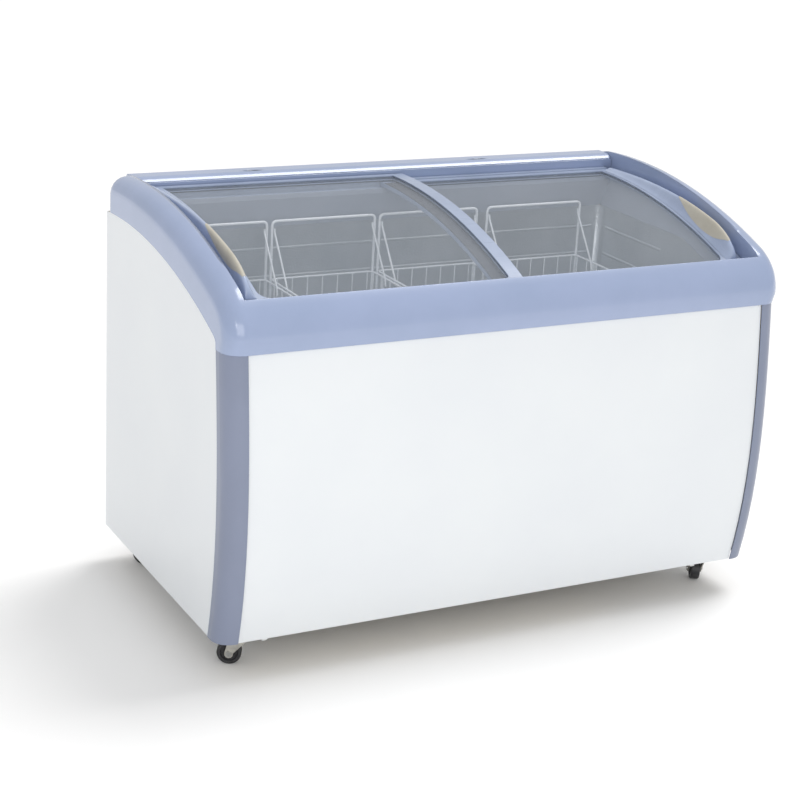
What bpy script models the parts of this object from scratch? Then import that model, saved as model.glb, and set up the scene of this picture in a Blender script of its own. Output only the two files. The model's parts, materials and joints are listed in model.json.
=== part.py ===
"""A chest freezer for ice cream: two curved glass lids slide over a bowed steel cabinet.

Metres, +Z up.  The origin is on the floor under the middle of the freezer.
-Y is the front, where the customer stands, and +X is the customer's right.
Run it with: blender --background --python part.py
"""
import math

import bmesh
import bpy
from mathutils import Matrix, Vector

# ---------------------------------------------------------------- driving sizes
WIDTH = 1.280
DEPTH = 0.700
HEIGHT = 0.882
GAP = 0.0004                    # between two pieces that touch
RUNNING_GAP = 0.0015            # between two pieces that slide or turn

# The roof line is a family of arcs whose centres lie at one depth.
ARC_CENTRE_INSET = 0.115        # from the rear end of the arms
GLASS_RADIUS = 1.300            # upper face of the lower lid
GLASS_APEX_DROP = 0.0355        # top of the arms down to the top of the lower lid
ARM_LOWER_DROP = 0.0435         # lower lid's top down to the lower edge of the arms
RIDGE_RADIUS = 1.320
RIDGE_CENTRE_INSET = 0.135
ARC_STEPS = 16

# Top frame: a front rim and two side arms in one moulding.
ARM_WIDTH = 0.046
ARM_ROUNDING = 0.038
ARM_LEDGE = 0.0205              # inner ledge that the lid ends pass over
LEDGE_DROP = 0.012              # lower lid's top down to the ledge
RIM_HEIGHT = 0.098
RIM_NOSE_DEPTH = 0.073          # front of the rim back to where its nose starts to turn
RIM_NOSE_DROP = 0.0965
RIM_WALL = 0.055                # front of the rim back to the lid opening
RIM_SET_BACK = 0.012            # rim front behind the fullest point of the corner trims
RIM_LEAN = 0.0065               # rim's lower edge behind its fullest line
LOWER_EDGE_FILLET = 0.030

# Cabinet.
FLOOR_GAP = 0.079               # floor to the lower edge of the panels
PANEL_INSET = 0.0025            # side panels behind the arms' outer face
SHEET = 0.0012
REAR_INSET = 0.005              # rear panel in front of the arms' rear ends
BOW_UPPER = 0.021               # Bezier offsets of the bowed front, upper handle
BOW_LOWER = 0.038               # lower handle
BOW_FOOT = 0.009                # how far the foot of the front tucks back
BOW_STEPS = 12
TRIM_FRONT = 0.044              # corner trim's width on the front
TRIM_SIDE = 0.053               # and on the side
TRIM_RADIUS = 0.038
TRIM_THICKNESS = 0.0025
TRIM_PROUD = 0.004              # trim in front of the front panel

# Tank.
WALL = 0.064                    # outside of the cabinet to the tank, sides
REAR_WALL = 0.0667
FRONT_WALL = 0.070
LINER = 0.0015
COIL_SPACE = 0.006              # between liner and foam, for the evaporator tube
FLOOR_FOAM = 0.085
LINER_TOP_DROP = 0.125          # from the top of the arms
LINER_RIM_DROP = 0.0908         # top of the front rim down to the liner's front edge
LINER_HEADROOM = 0.0556         # lower lid's top above the liner's level edge, where the edge starts to drop
TANK_CORNER = 0.025
COLLAR = 0.004

# Machine compartment under the step of the tank, right rear.
MACHINE_WIDTH = 0.357
MACHINE_HEIGHT = 0.215
MACHINE_FRONT_FOAM = 0.045
STEP_FOAM = 0.057

# Lids.
LID_THICKNESS = 0.010
LID_LEVELS = 0.0135             # upper lid above the lower lid
LID_OVERLAP = 0.060
LID_SIDE_GAP = 0.002
LID_TRAVEL = 0.500
LID_EDGE_STEP = 0.014           # the upper lid reaches further to the front and rear
GLASS = 0.004
GLASS_GROOVE = 0.008
FRONT_RAIL = 0.016
REAR_RAIL = 0.018
INNER_STILE = 0.030
OUTER_STILE = 0.047
TRACK_WIDTH = 0.033
TRACK_FOOT = 0.010
TRACK_CLEARANCE = 0.001

# Fin-shaped lid handles, with a soft grip over the crown.
FIN_WIDTH = 0.024
FIN_SIDE_INSET = 0.016          # finger recess between the fin and the arm
FIN_END_INSET = 0.017           # fin ends from the lid's front and rear edges
FIN_CROWN = 0.038
FIN_CROWN_FROM_FRONT = 0.080
FIN_MIDDLE = 0.019
FIN_REAR = 0.006
GRIP_START = 0.022              # from the fin's front end
GRIP_LENGTH = 0.195
GRIP_DEPTH = 0.024
GRIP_PROUD = 0.0006

# Rear rim.
REAR_RIM_WALL = 0.067           # rear ends of the arms forward to the lid opening
REAR_RIM_DROP = 0.006           # its top below the top of the arms
REAR_RIM_STEP = 0.008
REAR_RIM_LEDGE = 0.021
REAR_RIM_HEIGHT = 0.0725
REAR_RIM_ROUND = 0.010
SLOT_LENGTH = 0.054
SLOT_WIDTH = 0.009
SLOT_DEPTH = 0.003
SLOT_OFFSETS = (-0.320, 0.240)

# Baskets.
FLOOR_BASKETS = 3               # side by side on the tank's floor; one more stands on the step
BASKET_GAP = 0.011
BASKET_END_GAP = 0.0057         # narrowest side of the tank's mouth to the first basket
BASKET_STEP_GAP = 0.0155        # step of the tank to the last basket on its floor
STEP_BASKET_LEFT_GAP = 0.0105
STEP_BASKET_RIGHT_GAP = 0.085   # free end of the step, beside the last basket
BASKET_RIM_DROP = 0.030         # liner's front edge down to the basket rim
BASKET_FLOOR_GAP = 0.006
BASKET_FRONT_GAP = 0.024
BASKET_REAR_GAP = 0.0458
BASKET_WIRE = 0.0045
BASKET_CELL = 0.135
BASKET_LIFT = 0.030
HANDLE_RISE = 0.024             # handle loop above the liner's edge
HANDLE_STAY_DROP = 0.026
HANDLE_STAY_REACH = 0.075

# Casters.
WHEEL_RADIUS = 0.025
WHEEL_WIDTH = 0.020
CASTER_TRAIL = 0.022
CASTER_SIDE_INSET = 0.080       # swivel axis from the outside of the cabinet
CASTER_FRONT_INSET = 0.100
CASTER_REAR_INSET = 0.085
CASTER_PLATE = 0.056
CASTER_PLATE_THICKNESS = 0.0025
FORK_SHEET = 0.0025
FORK_TOP = 0.0035               # fork crown's thickness
WHEEL_HEADROOM = 0.010
AXLE_RADIUS = 0.004
KING_PIN_RADIUS = 0.005
RAIL_HEIGHT = 0.009
RAIL_WIDTH = 0.066
RAIL_SHEET = 0.002
CASTERS = {                     # name: side, end, angle of the trailing wheel
    "front_left": (-1, -1, 152.0),
    "front_right": (1, -1, 62.0),
    "rear_left": (-1, 1, 118.0),
    "rear_right": (1, 1, 62.0),
}

# Refrigeration.
COMPRESSOR_RADIUS = 0.068
COMPRESSOR_HEIGHT = 0.160
COMPRESSOR_FOOT = 0.008
PIPE = 0.003
COIL_END_GAP = 0.030             # step's top and liner's front edge to the evaporator tube
COIL_PITCH = 0.050
CONDENSER_ROWS = 7
CONDENSER_PITCH = 0.024
CONDENSER_LENGTH = 0.190
FAN_RADIUS = 0.072
FAN_BLADES = 5
DRIER_RADIUS = 0.010
DRIER_LENGTH = 0.110
THERMOSTAT_RADIUS = 0.030
THERMOSTAT_DEPTH = 0.022
KNOB_RADIUS = 0.019
KNOB_DEPTH = 0.014
VENT_ROWS = 8
VENT_PITCH = 0.016
VENT_HEIGHT = 0.006
VENT_WIDTH = 0.130
GLAND_RADIUS = 0.010
DRAIN_RADIUS = 0.012
DRAIN_INSET = 0.085             # tank's left side to the drain, which lies behind the first basket

# ---------------------------------------------------------------- derived places
HALF_WIDTH = WIDTH / 2
REAR_Y = DEPTH / 2
FRONT_Y = -DEPTH / 2
ARC_Y = REAR_Y - ARC_CENTRE_INSET
RIDGE_Y = REAR_Y - RIDGE_CENTRE_INSET
ARC_Z = HEIGHT - GLASS_APEX_DROP - GLASS_RADIUS
RIDGE_Z = HEIGHT - RIDGE_RADIUS
OPENING_X = HALF_WIDTH - ARM_WIDTH
THROAT_X = OPENING_X - ARM_LEDGE
RIM_FRONT_Y = FRONT_Y + RIM_SET_BACK
OPENING_FRONT_Y = RIM_FRONT_Y + RIM_WALL
OPENING_REAR_Y = REAR_Y - REAR_RIM_WALL

LOWER_LID_RADIUS = GLASS_RADIUS
UPPER_LID_RADIUS = GLASS_RADIUS + LID_LEVELS
UPPER_LID_FRONT = OPENING_FRONT_Y + 0.004
UPPER_LID_REAR = OPENING_REAR_Y - 0.003
LOWER_LID_FRONT = UPPER_LID_FRONT + LID_EDGE_STEP
LOWER_LID_REAR = UPPER_LID_REAR - LID_EDGE_STEP


def arc_z(radius, y, centre_y=ARC_Y, centre_z=ARC_Z):
    """Height of the roof arc of this radius at depth y."""
    return centre_z + math.sqrt(radius ** 2 - (y - centre_y) ** 2)


def arc(radius, y_from, y_to, steps=ARC_STEPS, centre_y=ARC_Y, centre_z=ARC_Z):
    """Points (y, z) along a roof arc."""
    ys = [y_from + (y_to - y_from) * i / steps for i in range(steps + 1)]
    return [(y, arc_z(radius, y, centre_y, centre_z)) for y in ys]


ARM_LOWER_RADIUS = GLASS_RADIUS - ARM_LOWER_DROP
RIM_TOP_Z = arc_z(UPPER_LID_RADIUS, UPPER_LID_FRONT) + 0.0175
SEAM_Z = RIM_TOP_Z - RIM_HEIGHT
SEAM_Y = RIM_FRONT_Y + RIM_LEAN
TRIM_TOP_Y = SEAM_Y + 0.002
TRIM_BACK_TOP_Y = TRIM_TOP_Y + TRIM_SIDE
SIDE_X = HALF_WIDTH - PANEL_INSET
FOAM_X = SIDE_X - SHEET - GAP
REAR_PANEL_Y = REAR_Y - REAR_INSET
FOAM_REAR_Y = REAR_PANEL_Y - SHEET - GAP
PAN_Z = FLOOR_GAP + 0.001
PAN_THICKNESS = 0.003
FOAM_FLOOR_Z = PAN_Z + PAN_THICKNESS + GAP

LINER_X = HALF_WIDTH - WALL
LINER_REAR_Y = REAR_Y - REAR_WALL
LINER_FRONT_Y = FRONT_Y + FRONT_WALL + 0.006
LINER_FLOOR_Z = FOAM_FLOOR_Z + FLOOR_FOAM
LINER_TOP_Z = HEIGHT - LINER_TOP_DROP
LINER_FRONT_TOP_Z = RIM_TOP_Z - LINER_RIM_DROP
LINER_SLOPE_Y = ARC_Y - math.sqrt(GLASS_RADIUS ** 2 - (LINER_TOP_Z + LINER_HEADROOM - ARC_Z) ** 2)
TANK_SIDE_X = min(LINER_X - LINER, THROAT_X - COLLAR)
MACHINE_X = FOAM_X - MACHINE_WIDTH
MACHINE_TOP_Z = FOAM_FLOOR_Z + MACHINE_HEIGHT
MACHINE_FRONT_Y = FRONT_Y + MACHINE_FRONT_FOAM
STEP_X = MACHINE_X - STEP_FOAM
STEP_Z = MACHINE_TOP_Z + STEP_FOAM + LINER
MACHINE_FLOOR_Z = PAN_Z + PAN_THICKNESS
DRAIN_X = -LINER_X + DRAIN_INSET
DRAIN_Y = LINER_REAR_Y - LINER - BASKET_REAR_GAP / 2


def bow(z):
    """How far the bowed front stands in front of its upper edge at height z."""
    s = (SEAM_Z - z) / (SEAM_Z - FLOOR_GAP)
    t = 1.0 - s
    return 3 * t * t * s * BOW_UPPER + 3 * t * s * s * BOW_LOWER - s ** 3 * BOW_FOOT


def bow_heights(top, bottom, steps=BOW_STEPS):
    """Heights at which the bowed pieces have a row of vertices, top first."""
    return [top + (bottom - top) * i / steps for i in range(steps + 1)]


def curve_through(start, handle_a, handle_b, end, steps):
    """Points on a cubic Bezier, without its first point."""
    points = []
    for i in range(1, steps + 1):
        s = i / steps
        t = 1.0 - s
        points.append(tuple(
            t ** 3 * a + 3 * t * t * s * b + 3 * t * s * s * c + s ** 3 * d
            for a, b, c, d in zip(start, handle_a, handle_b, end)))
    return points


# ---------------------------------------------------------------- scene helpers
def new_collection(name):
    """A fresh collection linked to the scene."""
    collection = bpy.data.collections.new(name)
    bpy.context.scene.collection.children.link(collection)
    return collection


def make_material(name, colour, roughness, metallic=0.0, alpha=1.0):
    """A Principled material."""
    material = bpy.data.materials.new(name)
    material.use_nodes = True
    shader = material.node_tree.nodes["Principled BSDF"]
    shader.inputs["Base Color"].default_value = (*colour, 1.0)
    shader.inputs["Roughness"].default_value = roughness
    shader.inputs["Metallic"].default_value = metallic
    shader.inputs["Alpha"].default_value = alpha
    return material


def add_object(name, mesh, material=None, parent=None):
    """Puts a mesh in the model under its node name."""
    obj = bpy.data.objects.new(name, mesh)
    MODEL.objects.link(obj)
    if material:
        mesh.materials.append(material)
    if parent:
        obj.parent = parent
    return obj


def as_cutter(obj):
    """Moves an object to the cutters, which are not part of the model."""
    for collection in list(obj.users_collection):
        collection.objects.unlink(obj)
    CUTTERS.objects.link(obj)
    obj.hide_render = True
    obj.display_type = "WIRE"
    return obj


def boolean(obj, other, operation, solver="EXACT"):
    """Adds a Boolean modifier; the other object becomes a cutter."""
    as_cutter(other)
    modifier = obj.modifiers.new(operation.lower(), "BOOLEAN")
    modifier.operation = operation
    modifier.object = other
    modifier.solver = solver
    return obj


def cut(obj, *others):
    """Cuts the other solids out of this one."""
    for other in others:
        boolean(obj, other, "DIFFERENCE")
    return obj


def join(obj, *others):
    """Joins the other solids to this one."""
    for other in others:
        boolean(obj, other, "UNION")
    return obj


def curve_to_mesh(obj, material=None):
    """Replaces a curve object by the welded mesh of the same shape."""
    bpy.context.view_layer.update()
    evaluated = obj.evaluated_get(bpy.context.evaluated_depsgraph_get())
    mesh = bpy.data.meshes.new_from_object(evaluated)
    mesh.name = obj.name
    bm = bmesh.new()
    bm.from_mesh(mesh)
    bmesh.ops.remove_doubles(bm, verts=bm.verts, dist=1e-6)
    bmesh.ops.recalc_face_normals(bm, faces=bm.faces)
    bm.to_mesh(mesh)
    bm.free()
    name, matrix, parent = obj.name, obj.matrix_world.copy(), obj.parent
    bpy.data.objects.remove(obj)
    mesh.materials.clear()
    result = add_object(name, mesh, material, parent)
    result.matrix_world = matrix
    return result


def box(name, low, high, material=None, parent=None):
    """A box between two corners."""
    bm = bmesh.new()
    bmesh.ops.create_cube(bm, size=1.0)
    size = [b - a for a, b in zip(low, high)]
    centre = [(a + b) / 2 for a, b in zip(low, high)]
    bmesh.ops.transform(bm, verts=bm.verts, matrix=Matrix.Translation(centre) @ Matrix.Diagonal((*size, 1.0)))
    mesh = bpy.data.meshes.new(name)
    bm.to_mesh(mesh)
    bm.free()
    return add_object(name, mesh, material, parent)


def cylinder(name, radius, centre, length, axis="Z", sides=24, material=None, parent=None):
    """A cylinder with its middle at the centre."""
    bm = bmesh.new()
    turn = {"X": Matrix.Rotation(math.pi / 2, 4, "Y"), "Y": Matrix.Rotation(math.pi / 2, 4, "X")}
    bmesh.ops.create_cone(bm, cap_ends=True, segments=sides, radius1=radius, radius2=radius, depth=length,
                          matrix=Matrix.Translation(centre) @ turn.get(axis, Matrix.Identity(4)))
    mesh = bpy.data.meshes.new(name)
    bm.to_mesh(mesh)
    bm.free()
    shade_round(mesh)
    return add_object(name, mesh, material, parent)


def shade_round(mesh):
    """Smooth shading with crisp edges kept."""
    mesh.shade_smooth()
    mesh.set_sharp_from_angle(angle=math.radians(35))


FRAMES = {                      # local X, Y, Z of an outline in world directions
    "X": Matrix(((0, 0, 1, 0), (1, 0, 0, 0), (0, 1, 0, 0), (0, 0, 0, 1))),
    "Y": Matrix(((1, 0, 0, 0), (0, 0, -1, 0), (0, 1, 0, 0), (0, 0, 0, 1))),
    "Z": Matrix.Identity(4),
}


def outline(name, points, low, high, axis="X", material=None):
    """A flat outline drawn across the axis and thickened from low to high along it.

    Points are (y, z) for X, (x, z) for Y and (x, y) for Z.
    """
    data = bpy.data.curves.new(name, "CURVE")
    data.dimensions = "2D"
    data.fill_mode = "BOTH"
    data.extrude = (high - low) / 2
    spline = data.splines.new("POLY")
    spline.points.add(len(points) - 1)
    for point, (u, v) in zip(spline.points, points):
        point.co = (u, v, 0.0, 1.0)
    spline.use_cyclic_u = True
    obj = bpy.data.objects.new(name, data)
    MODEL.objects.link(obj)
    middle = (low + high) / 2
    offset = {"X": (middle, 0, 0), "Y": (0, middle, 0), "Z": (0, 0, middle)}[axis]
    obj.matrix_world = Matrix.Translation(offset) @ FRAMES[axis]
    obj = curve_to_mesh(obj, material)
    obj.data.transform(obj.matrix_world)
    obj.matrix_world = Matrix.Identity(4)
    merge_flat_faces(obj.data)
    shade_round(obj.data)
    return obj


def merge_flat_faces(mesh):
    """Joins the triangles of each flat end into one face, so that edges can be bevelled."""
    bm = bmesh.new()
    bm.from_mesh(mesh)
    bmesh.ops.dissolve_limit(bm, angle_limit=0.0005, verts=bm.verts, edges=bm.edges)
    bm.to_mesh(mesh)
    bm.free()


def turned(name, profile, centre, axis="Z", steps=24, material=None, parent=None):
    """A turned piece: (radius, height) pairs run down its outer side, from the axis to the axis."""
    bm = bmesh.new()
    verts = [bm.verts.new((radius, 0.0, height)) for radius, height in profile]
    for a, b in zip(verts, verts[1:]):
        bm.edges.new((a, b))
    mesh = bpy.data.meshes.new(name)
    bm.to_mesh(mesh)
    bm.free()
    obj = add_object(name, mesh, material, parent)
    modifier = obj.modifiers.new("turn", "SCREW")
    modifier.steps = steps
    modifier.render_steps = steps
    modifier.use_merge_vertices = True
    modifier.merge_threshold = 0.00001
    modifier.use_smooth_shade = True
    obj.location = centre
    obj.rotation_euler = {"X": (0, math.pi / 2, 0), "Y": (-math.pi / 2, 0, 0), "Z": (0, 0, 0)}[axis]
    return obj


def tube(name, points, radius, material=None, cyclic=False, resolution=1, parent=None):
    """A round tube or wire along straight runs between points."""
    data = bpy.data.curves.new(name, "CURVE")
    data.dimensions = "3D"
    data.bevel_depth = radius
    data.bevel_resolution = resolution
    data.use_fill_caps = not cyclic
    spline = data.splines.new("POLY")
    spline.points.add(len(points) - 1)
    for point, co in zip(spline.points, points):
        point.co = (*co, 1.0)
    spline.use_cyclic_u = cyclic
    obj = bpy.data.objects.new(name, data)
    MODEL.objects.link(obj)
    if parent:
        obj.parent = parent
    obj = curve_to_mesh(obj, material)
    shade_round(obj.data)
    return obj


def bowed_sheet(name, plan, top, bottom, thickness, material):
    """A sheet whose plan line is repeated down the bowed front, then thickened inwards."""
    bm = bmesh.new()
    heights = bow_heights(top, bottom)
    verts = [bm.verts.new((x, y - bow(heights[0]), heights[0])) for x, y in plan]
    edges = [bm.edges.new(pair) for pair in zip(verts, verts[1:])]
    for upper, lower in zip(heights, heights[1:]):
        made = bmesh.ops.extrude_edge_only(bm, edges=edges)["geom"]
        moved = [item for item in made if isinstance(item, bmesh.types.BMVert)]
        edges = [item for item in made if isinstance(item, bmesh.types.BMEdge)]
        shift = Vector((0, bow(upper) - bow(lower), lower - upper))
        bmesh.ops.translate(bm, verts=moved, vec=shift)
    bmesh.ops.recalc_face_normals(bm, faces=bm.faces)
    bm.faces.ensure_lookup_table()
    foremost = min(bm.faces, key=lambda face: face.calc_center_median().y)
    if foremost.normal.y > 0:
        bmesh.ops.reverse_faces(bm, faces=bm.faces)
    mesh = bpy.data.meshes.new(name)
    bm.to_mesh(mesh)
    bm.free()
    shade_round(mesh)
    obj = add_object(name, mesh, material)
    wall = obj.modifiers.new("sheet", "SOLIDIFY")
    wall.thickness = thickness
    wall.offset = -1.0
    wall.use_even_offset = True
    return obj


def round_edges(obj, radius, segments, chosen):
    """Bevels the edges that the test picks from their two end points."""
    weights = obj.data.attributes.new("bevel_weight_edge", "FLOAT", "EDGE")
    vertices = obj.data.vertices
    for edge in obj.data.edges:
        a, b = (vertices[index].co for index in edge.vertices)
        weights.data[edge.index].value = 1.0 if chosen(a, b) else 0.0
    bevel = obj.modifiers.new("rounding", "BEVEL")
    bevel.limit_method = "WEIGHT"
    bevel.width = radius
    bevel.segments = segments
    bevel.use_clamp_overlap = False
    return obj


# ---------------------------------------------------------------- top frame
def arm_lower_edge(drop=0.0):
    """The arms' lower edge from rear to front, ending at the seam over the corner trims."""
    radius = ARM_LOWER_RADIUS - drop
    turn_y = TRIM_BACK_TOP_Y + LOWER_EDGE_FILLET
    points = arc(radius, REAR_Y, turn_y)
    end = (TRIM_BACK_TOP_Y, SEAM_Z - drop)
    corner = (TRIM_BACK_TOP_Y, arc_z(radius, TRIM_BACK_TOP_Y))
    return points + curve_through(points[-1], corner, corner, end, 6)


def make_top_frame(material):
    """Front rim and both side arms, one U-shaped moulding with smooth front corners."""
    nose_start = (RIM_FRONT_Y + RIM_NOSE_DEPTH, arc_z(RIDGE_RADIUS, RIM_FRONT_Y + RIM_NOSE_DEPTH, RIDGE_Y, RIDGE_Z))
    nose_end = (RIM_FRONT_Y, nose_start[1] - RIM_NOSE_DROP)
    slope = math.asin((nose_start[0] - RIDGE_Y) / RIDGE_RADIUS)
    pull = 0.55 * RIM_NOSE_DEPTH / math.cos(slope)
    handle_a = (nose_start[0] - pull * math.cos(slope), nose_start[1] + pull * math.sin(slope))
    handle_b = (RIM_FRONT_Y, nose_end[1] + 0.52 * RIM_NOSE_DROP)
    clear_of_corner = REAR_Y - 1.4 * ARM_ROUNDING
    ridge = [(REAR_Y, arc_z(RIDGE_RADIUS, REAR_Y, RIDGE_Y, RIDGE_Z))]
    ridge += arc(RIDGE_RADIUS, clear_of_corner, nose_start[0], ARC_STEPS - 2, RIDGE_Y, RIDGE_Z)
    upper = ridge + curve_through(nose_start, handle_a, handle_b, nose_end, 10) + [(SEAM_Y, SEAM_Z)]
    frame = outline("top_frame", upper + arm_lower_edge()[::-1], -HALF_WIDTH, HALF_WIDTH, material=material)
    on_upper = {(round(y, 5), round(z, 5)) for y, z in upper}

    def chosen(a, b):
        """Upper edges of both ends, and the rear upper edge."""
        both_upper = all((round(p.y, 5), round(p.z, 5)) in on_upper for p in (a, b))
        on_end = abs(abs(a.x) - HALF_WIDTH) < 1e-5 and abs(a.x - b.x) < 1e-5
        on_rear = abs(a.y - REAR_Y) < 1e-5 and abs(b.y - REAR_Y) < 1e-5
        return both_upper and (on_end or on_rear) or (on_end and on_rear)

    round_edges(frame, ARM_ROUNDING, 5, chosen)
    ledge_radius = GLASS_RADIUS - LEDGE_DROP
    inner = OPENING_FRONT_Y
    past = 0.2
    opening = [(inner, RIM_TOP_Z - 0.018), (inner - 0.0015, RIM_TOP_Z - 0.009), (inner - 0.007, RIM_TOP_Z - 0.0025),
               (inner - 0.017, RIM_TOP_Z), (inner - 0.031, RIM_TOP_Z - 0.002), (inner - 0.047, RIM_TOP_Z + 0.010),
               (inner - 0.047, HEIGHT + past), (REAR_Y + past, HEIGHT + past), (REAR_Y + past, SEAM_Z - past),
               (OPENING_REAR_Y - GAP, SEAM_Z - past)]
    opening += arc(ledge_radius, OPENING_REAR_Y - GAP, inner)
    space = outline("opening_cutter", opening, -OPENING_X, OPENING_X)
    throat = box("throat_cutter", (-THROAT_X, inner - GAP, SEAM_Z - past), (THROAT_X, REAR_Y, HEIGHT + past / 2))
    boolean(space, throat, "UNION", "MANIFOLD")
    return boolean(frame, space, "DIFFERENCE", "MANIFOLD")


def make_rear_rim(material, slot_material):
    """The flat rear bridge between the arms, with a stepped ledge and two slot inserts."""
    top = HEIGHT - REAR_RIM_DROP
    low = top - REAR_RIM_HEIGHT
    front = OPENING_REAR_Y
    back = REAR_Y - GAP
    lip = 0.003
    step_y = front + REAR_RIM_LEDGE
    lip_low = arc_z(ARM_LOWER_RADIUS, REAR_Y)
    points = [(front, low), (back - lip, low), (back - lip, lip_low), (back, lip_low)]
    points += [(back, top - REAR_RIM_ROUND)]
    points += curve_through(points[-1], (back, top - 0.45 * REAR_RIM_ROUND), (back - 0.45 * REAR_RIM_ROUND, top),
                            (back - REAR_RIM_ROUND, top), 4)
    points += [(step_y, top), (step_y - 0.002, top - REAR_RIM_STEP), (front + 0.002, top - REAR_RIM_STEP),
               (front, top - REAR_RIM_STEP - 0.002)]
    rim = outline("rear_rim", points, -OPENING_X + GAP, OPENING_X - GAP, material=material)
    slot_y = step_y + SLOT_WIDTH / 2 + 0.003
    for label, x in zip(("left", "right"), SLOT_OFFSETS):
        cut(rim, outline("slot_cutter", lens(x, slot_y, GAP), top - SLOT_DEPTH, top + 0.01, "Z"))
        outline("rim_slot_" + label, lens(x, slot_y, 0.0), top - SLOT_DEPTH + GAP, top - 0.001, "Z", slot_material)
    return rim


def lens(x, y, grow, steps=8):
    """A lens outline that is round on both long sides."""
    half = SLOT_LENGTH / 2 + 2 * grow
    rise = SLOT_WIDTH / 2 + grow
    across = [-half + 2 * half * i / steps for i in range(steps + 1)]
    front = [(x + u, y - rise * (1 - (u / half) ** 2)) for u in across]
    back = [(x + u, y + rise * (1 - (u / half) ** 2)) for u in across[-2:0:-1]]
    return front + back


# ---------------------------------------------------------------- cabinet
def make_side_panel(label, side, material):
    """A painted steel side: its upper edge follows the arm and its front edge follows the trim."""
    upper = [(min(y, REAR_PANEL_Y), z - GAP) for y, z in arm_lower_edge(GAP)]
    front = [(TRIM_BACK_TOP_Y - bow(z) + GAP, z) for z in bow_heights(SEAM_Z - 2 * GAP, FLOOR_GAP)]
    upper = [point for point in upper if point[0] > TRIM_BACK_TOP_Y + GAP]
    points = [(REAR_PANEL_Y, FLOOR_GAP)] + upper + front
    low, high = sorted((side * SIDE_X, side * (SIDE_X - SHEET)))
    return outline("side_panel_" + label, points, low, high, material=material)


def make_corner_trim(label, side, material):
    """A moulded corner strip, rounded in plan and bowed like the front."""
    x = side * (HALF_WIDTH - 0.0005)
    steps = 6
    plan = [(x, TRIM_TOP_Y + TRIM_SIDE)]
    for i in range(steps + 1):
        angle = math.pi / 2 * i / steps
        plan.append((x - side * TRIM_RADIUS * (1 - math.cos(angle)), TRIM_TOP_Y + TRIM_RADIUS * (1 - math.sin(angle))))
    plan.append((x - side * TRIM_FRONT, TRIM_TOP_Y))
    return bowed_sheet("corner_trim_" + label, plan, SEAM_Z - GAP, FLOOR_GAP, TRIM_THICKNESS, material)


def make_front_panel(material):
    """The bowed front, between the corner trims and just behind their faces."""
    reach = HALF_WIDTH - 0.0005 - TRIM_FRONT - GAP
    plan = [(-reach, TRIM_TOP_Y + TRIM_PROUD), (reach, TRIM_TOP_Y + TRIM_PROUD)]
    return bowed_sheet("front_panel", plan, SEAM_Z - GAP, FLOOR_GAP, SHEET, material)


def make_rear_panel(material):
    """The flat rear, with louvre slots, a thermostat hole and a cable hole over the machinery."""
    top = arc_z(ARM_LOWER_RADIUS, REAR_Y) - GAP
    panel = box("rear_panel", (-SIDE_X + SHEET + GAP, REAR_PANEL_Y - SHEET, FLOOR_GAP),
                (SIDE_X - SHEET - GAP, REAR_PANEL_Y, top), material)
    x, z = vent_centre()
    for row in range(VENT_ROWS):
        level = z + (row - (VENT_ROWS - 1) / 2) * VENT_PITCH
        cut(panel, box("vent_cutter", (x - VENT_WIDTH / 2, REAR_PANEL_Y - 0.01, level - VENT_HEIGHT / 2),
                       (x + VENT_WIDTH / 2, REAR_PANEL_Y + 0.01, level + VENT_HEIGHT / 2)))
    for radius, (hole_x, hole_z) in ((THERMOSTAT_RADIUS, thermostat_centre()), (GLAND_RADIUS, gland_centre())):
        cut(panel, cylinder("hole_cutter", radius + GAP, (hole_x, REAR_PANEL_Y, hole_z), 0.02, "Y", 32))
    return panel


def vent_centre():
    """Middle of the louvres on the rear panel."""
    return FOAM_X - 0.020 - VENT_WIDTH / 2, MACHINE_FLOOR_Z + MACHINE_HEIGHT / 2


def thermostat_centre():
    """Middle of the thermostat on the rear panel."""
    return MACHINE_X + 0.016 + THERMOSTAT_RADIUS, MACHINE_TOP_Z - 0.020 - THERMOSTAT_RADIUS


def gland_centre():
    """Middle of the cable gland on the rear panel."""
    return MACHINE_X + 0.016 + THERMOSTAT_RADIUS, MACHINE_FLOOR_Z + 0.045


def make_base_pan(material):
    """The floor of the cabinet, which carries the foam and the machinery."""
    front = TRIM_TOP_Y + BOW_FOOT + TRIM_RADIUS
    pan = box("base_pan", (-FOAM_X, front, PAN_Z), (FOAM_X, FOAM_REAR_Y, PAN_Z + PAN_THICKNESS), material)
    return cut(pan, cylinder("drain_cutter", DRAIN_RADIUS, (DRAIN_X, DRAIN_Y, PAN_Z), 0.02))


# ---------------------------------------------------------------- tank
def tank_section(grow, top):
    """The tank's section across the cabinet, with the step over the machinery; grow widens it."""
    floor = LINER_FLOOR_Z - grow
    return [(-LINER_X - grow, top), (-LINER_X - grow, floor), (STEP_X + grow, floor), (STEP_X + grow, STEP_Z - grow),
            (LINER_X + grow, STEP_Z - grow), (LINER_X + grow, top)]


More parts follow.
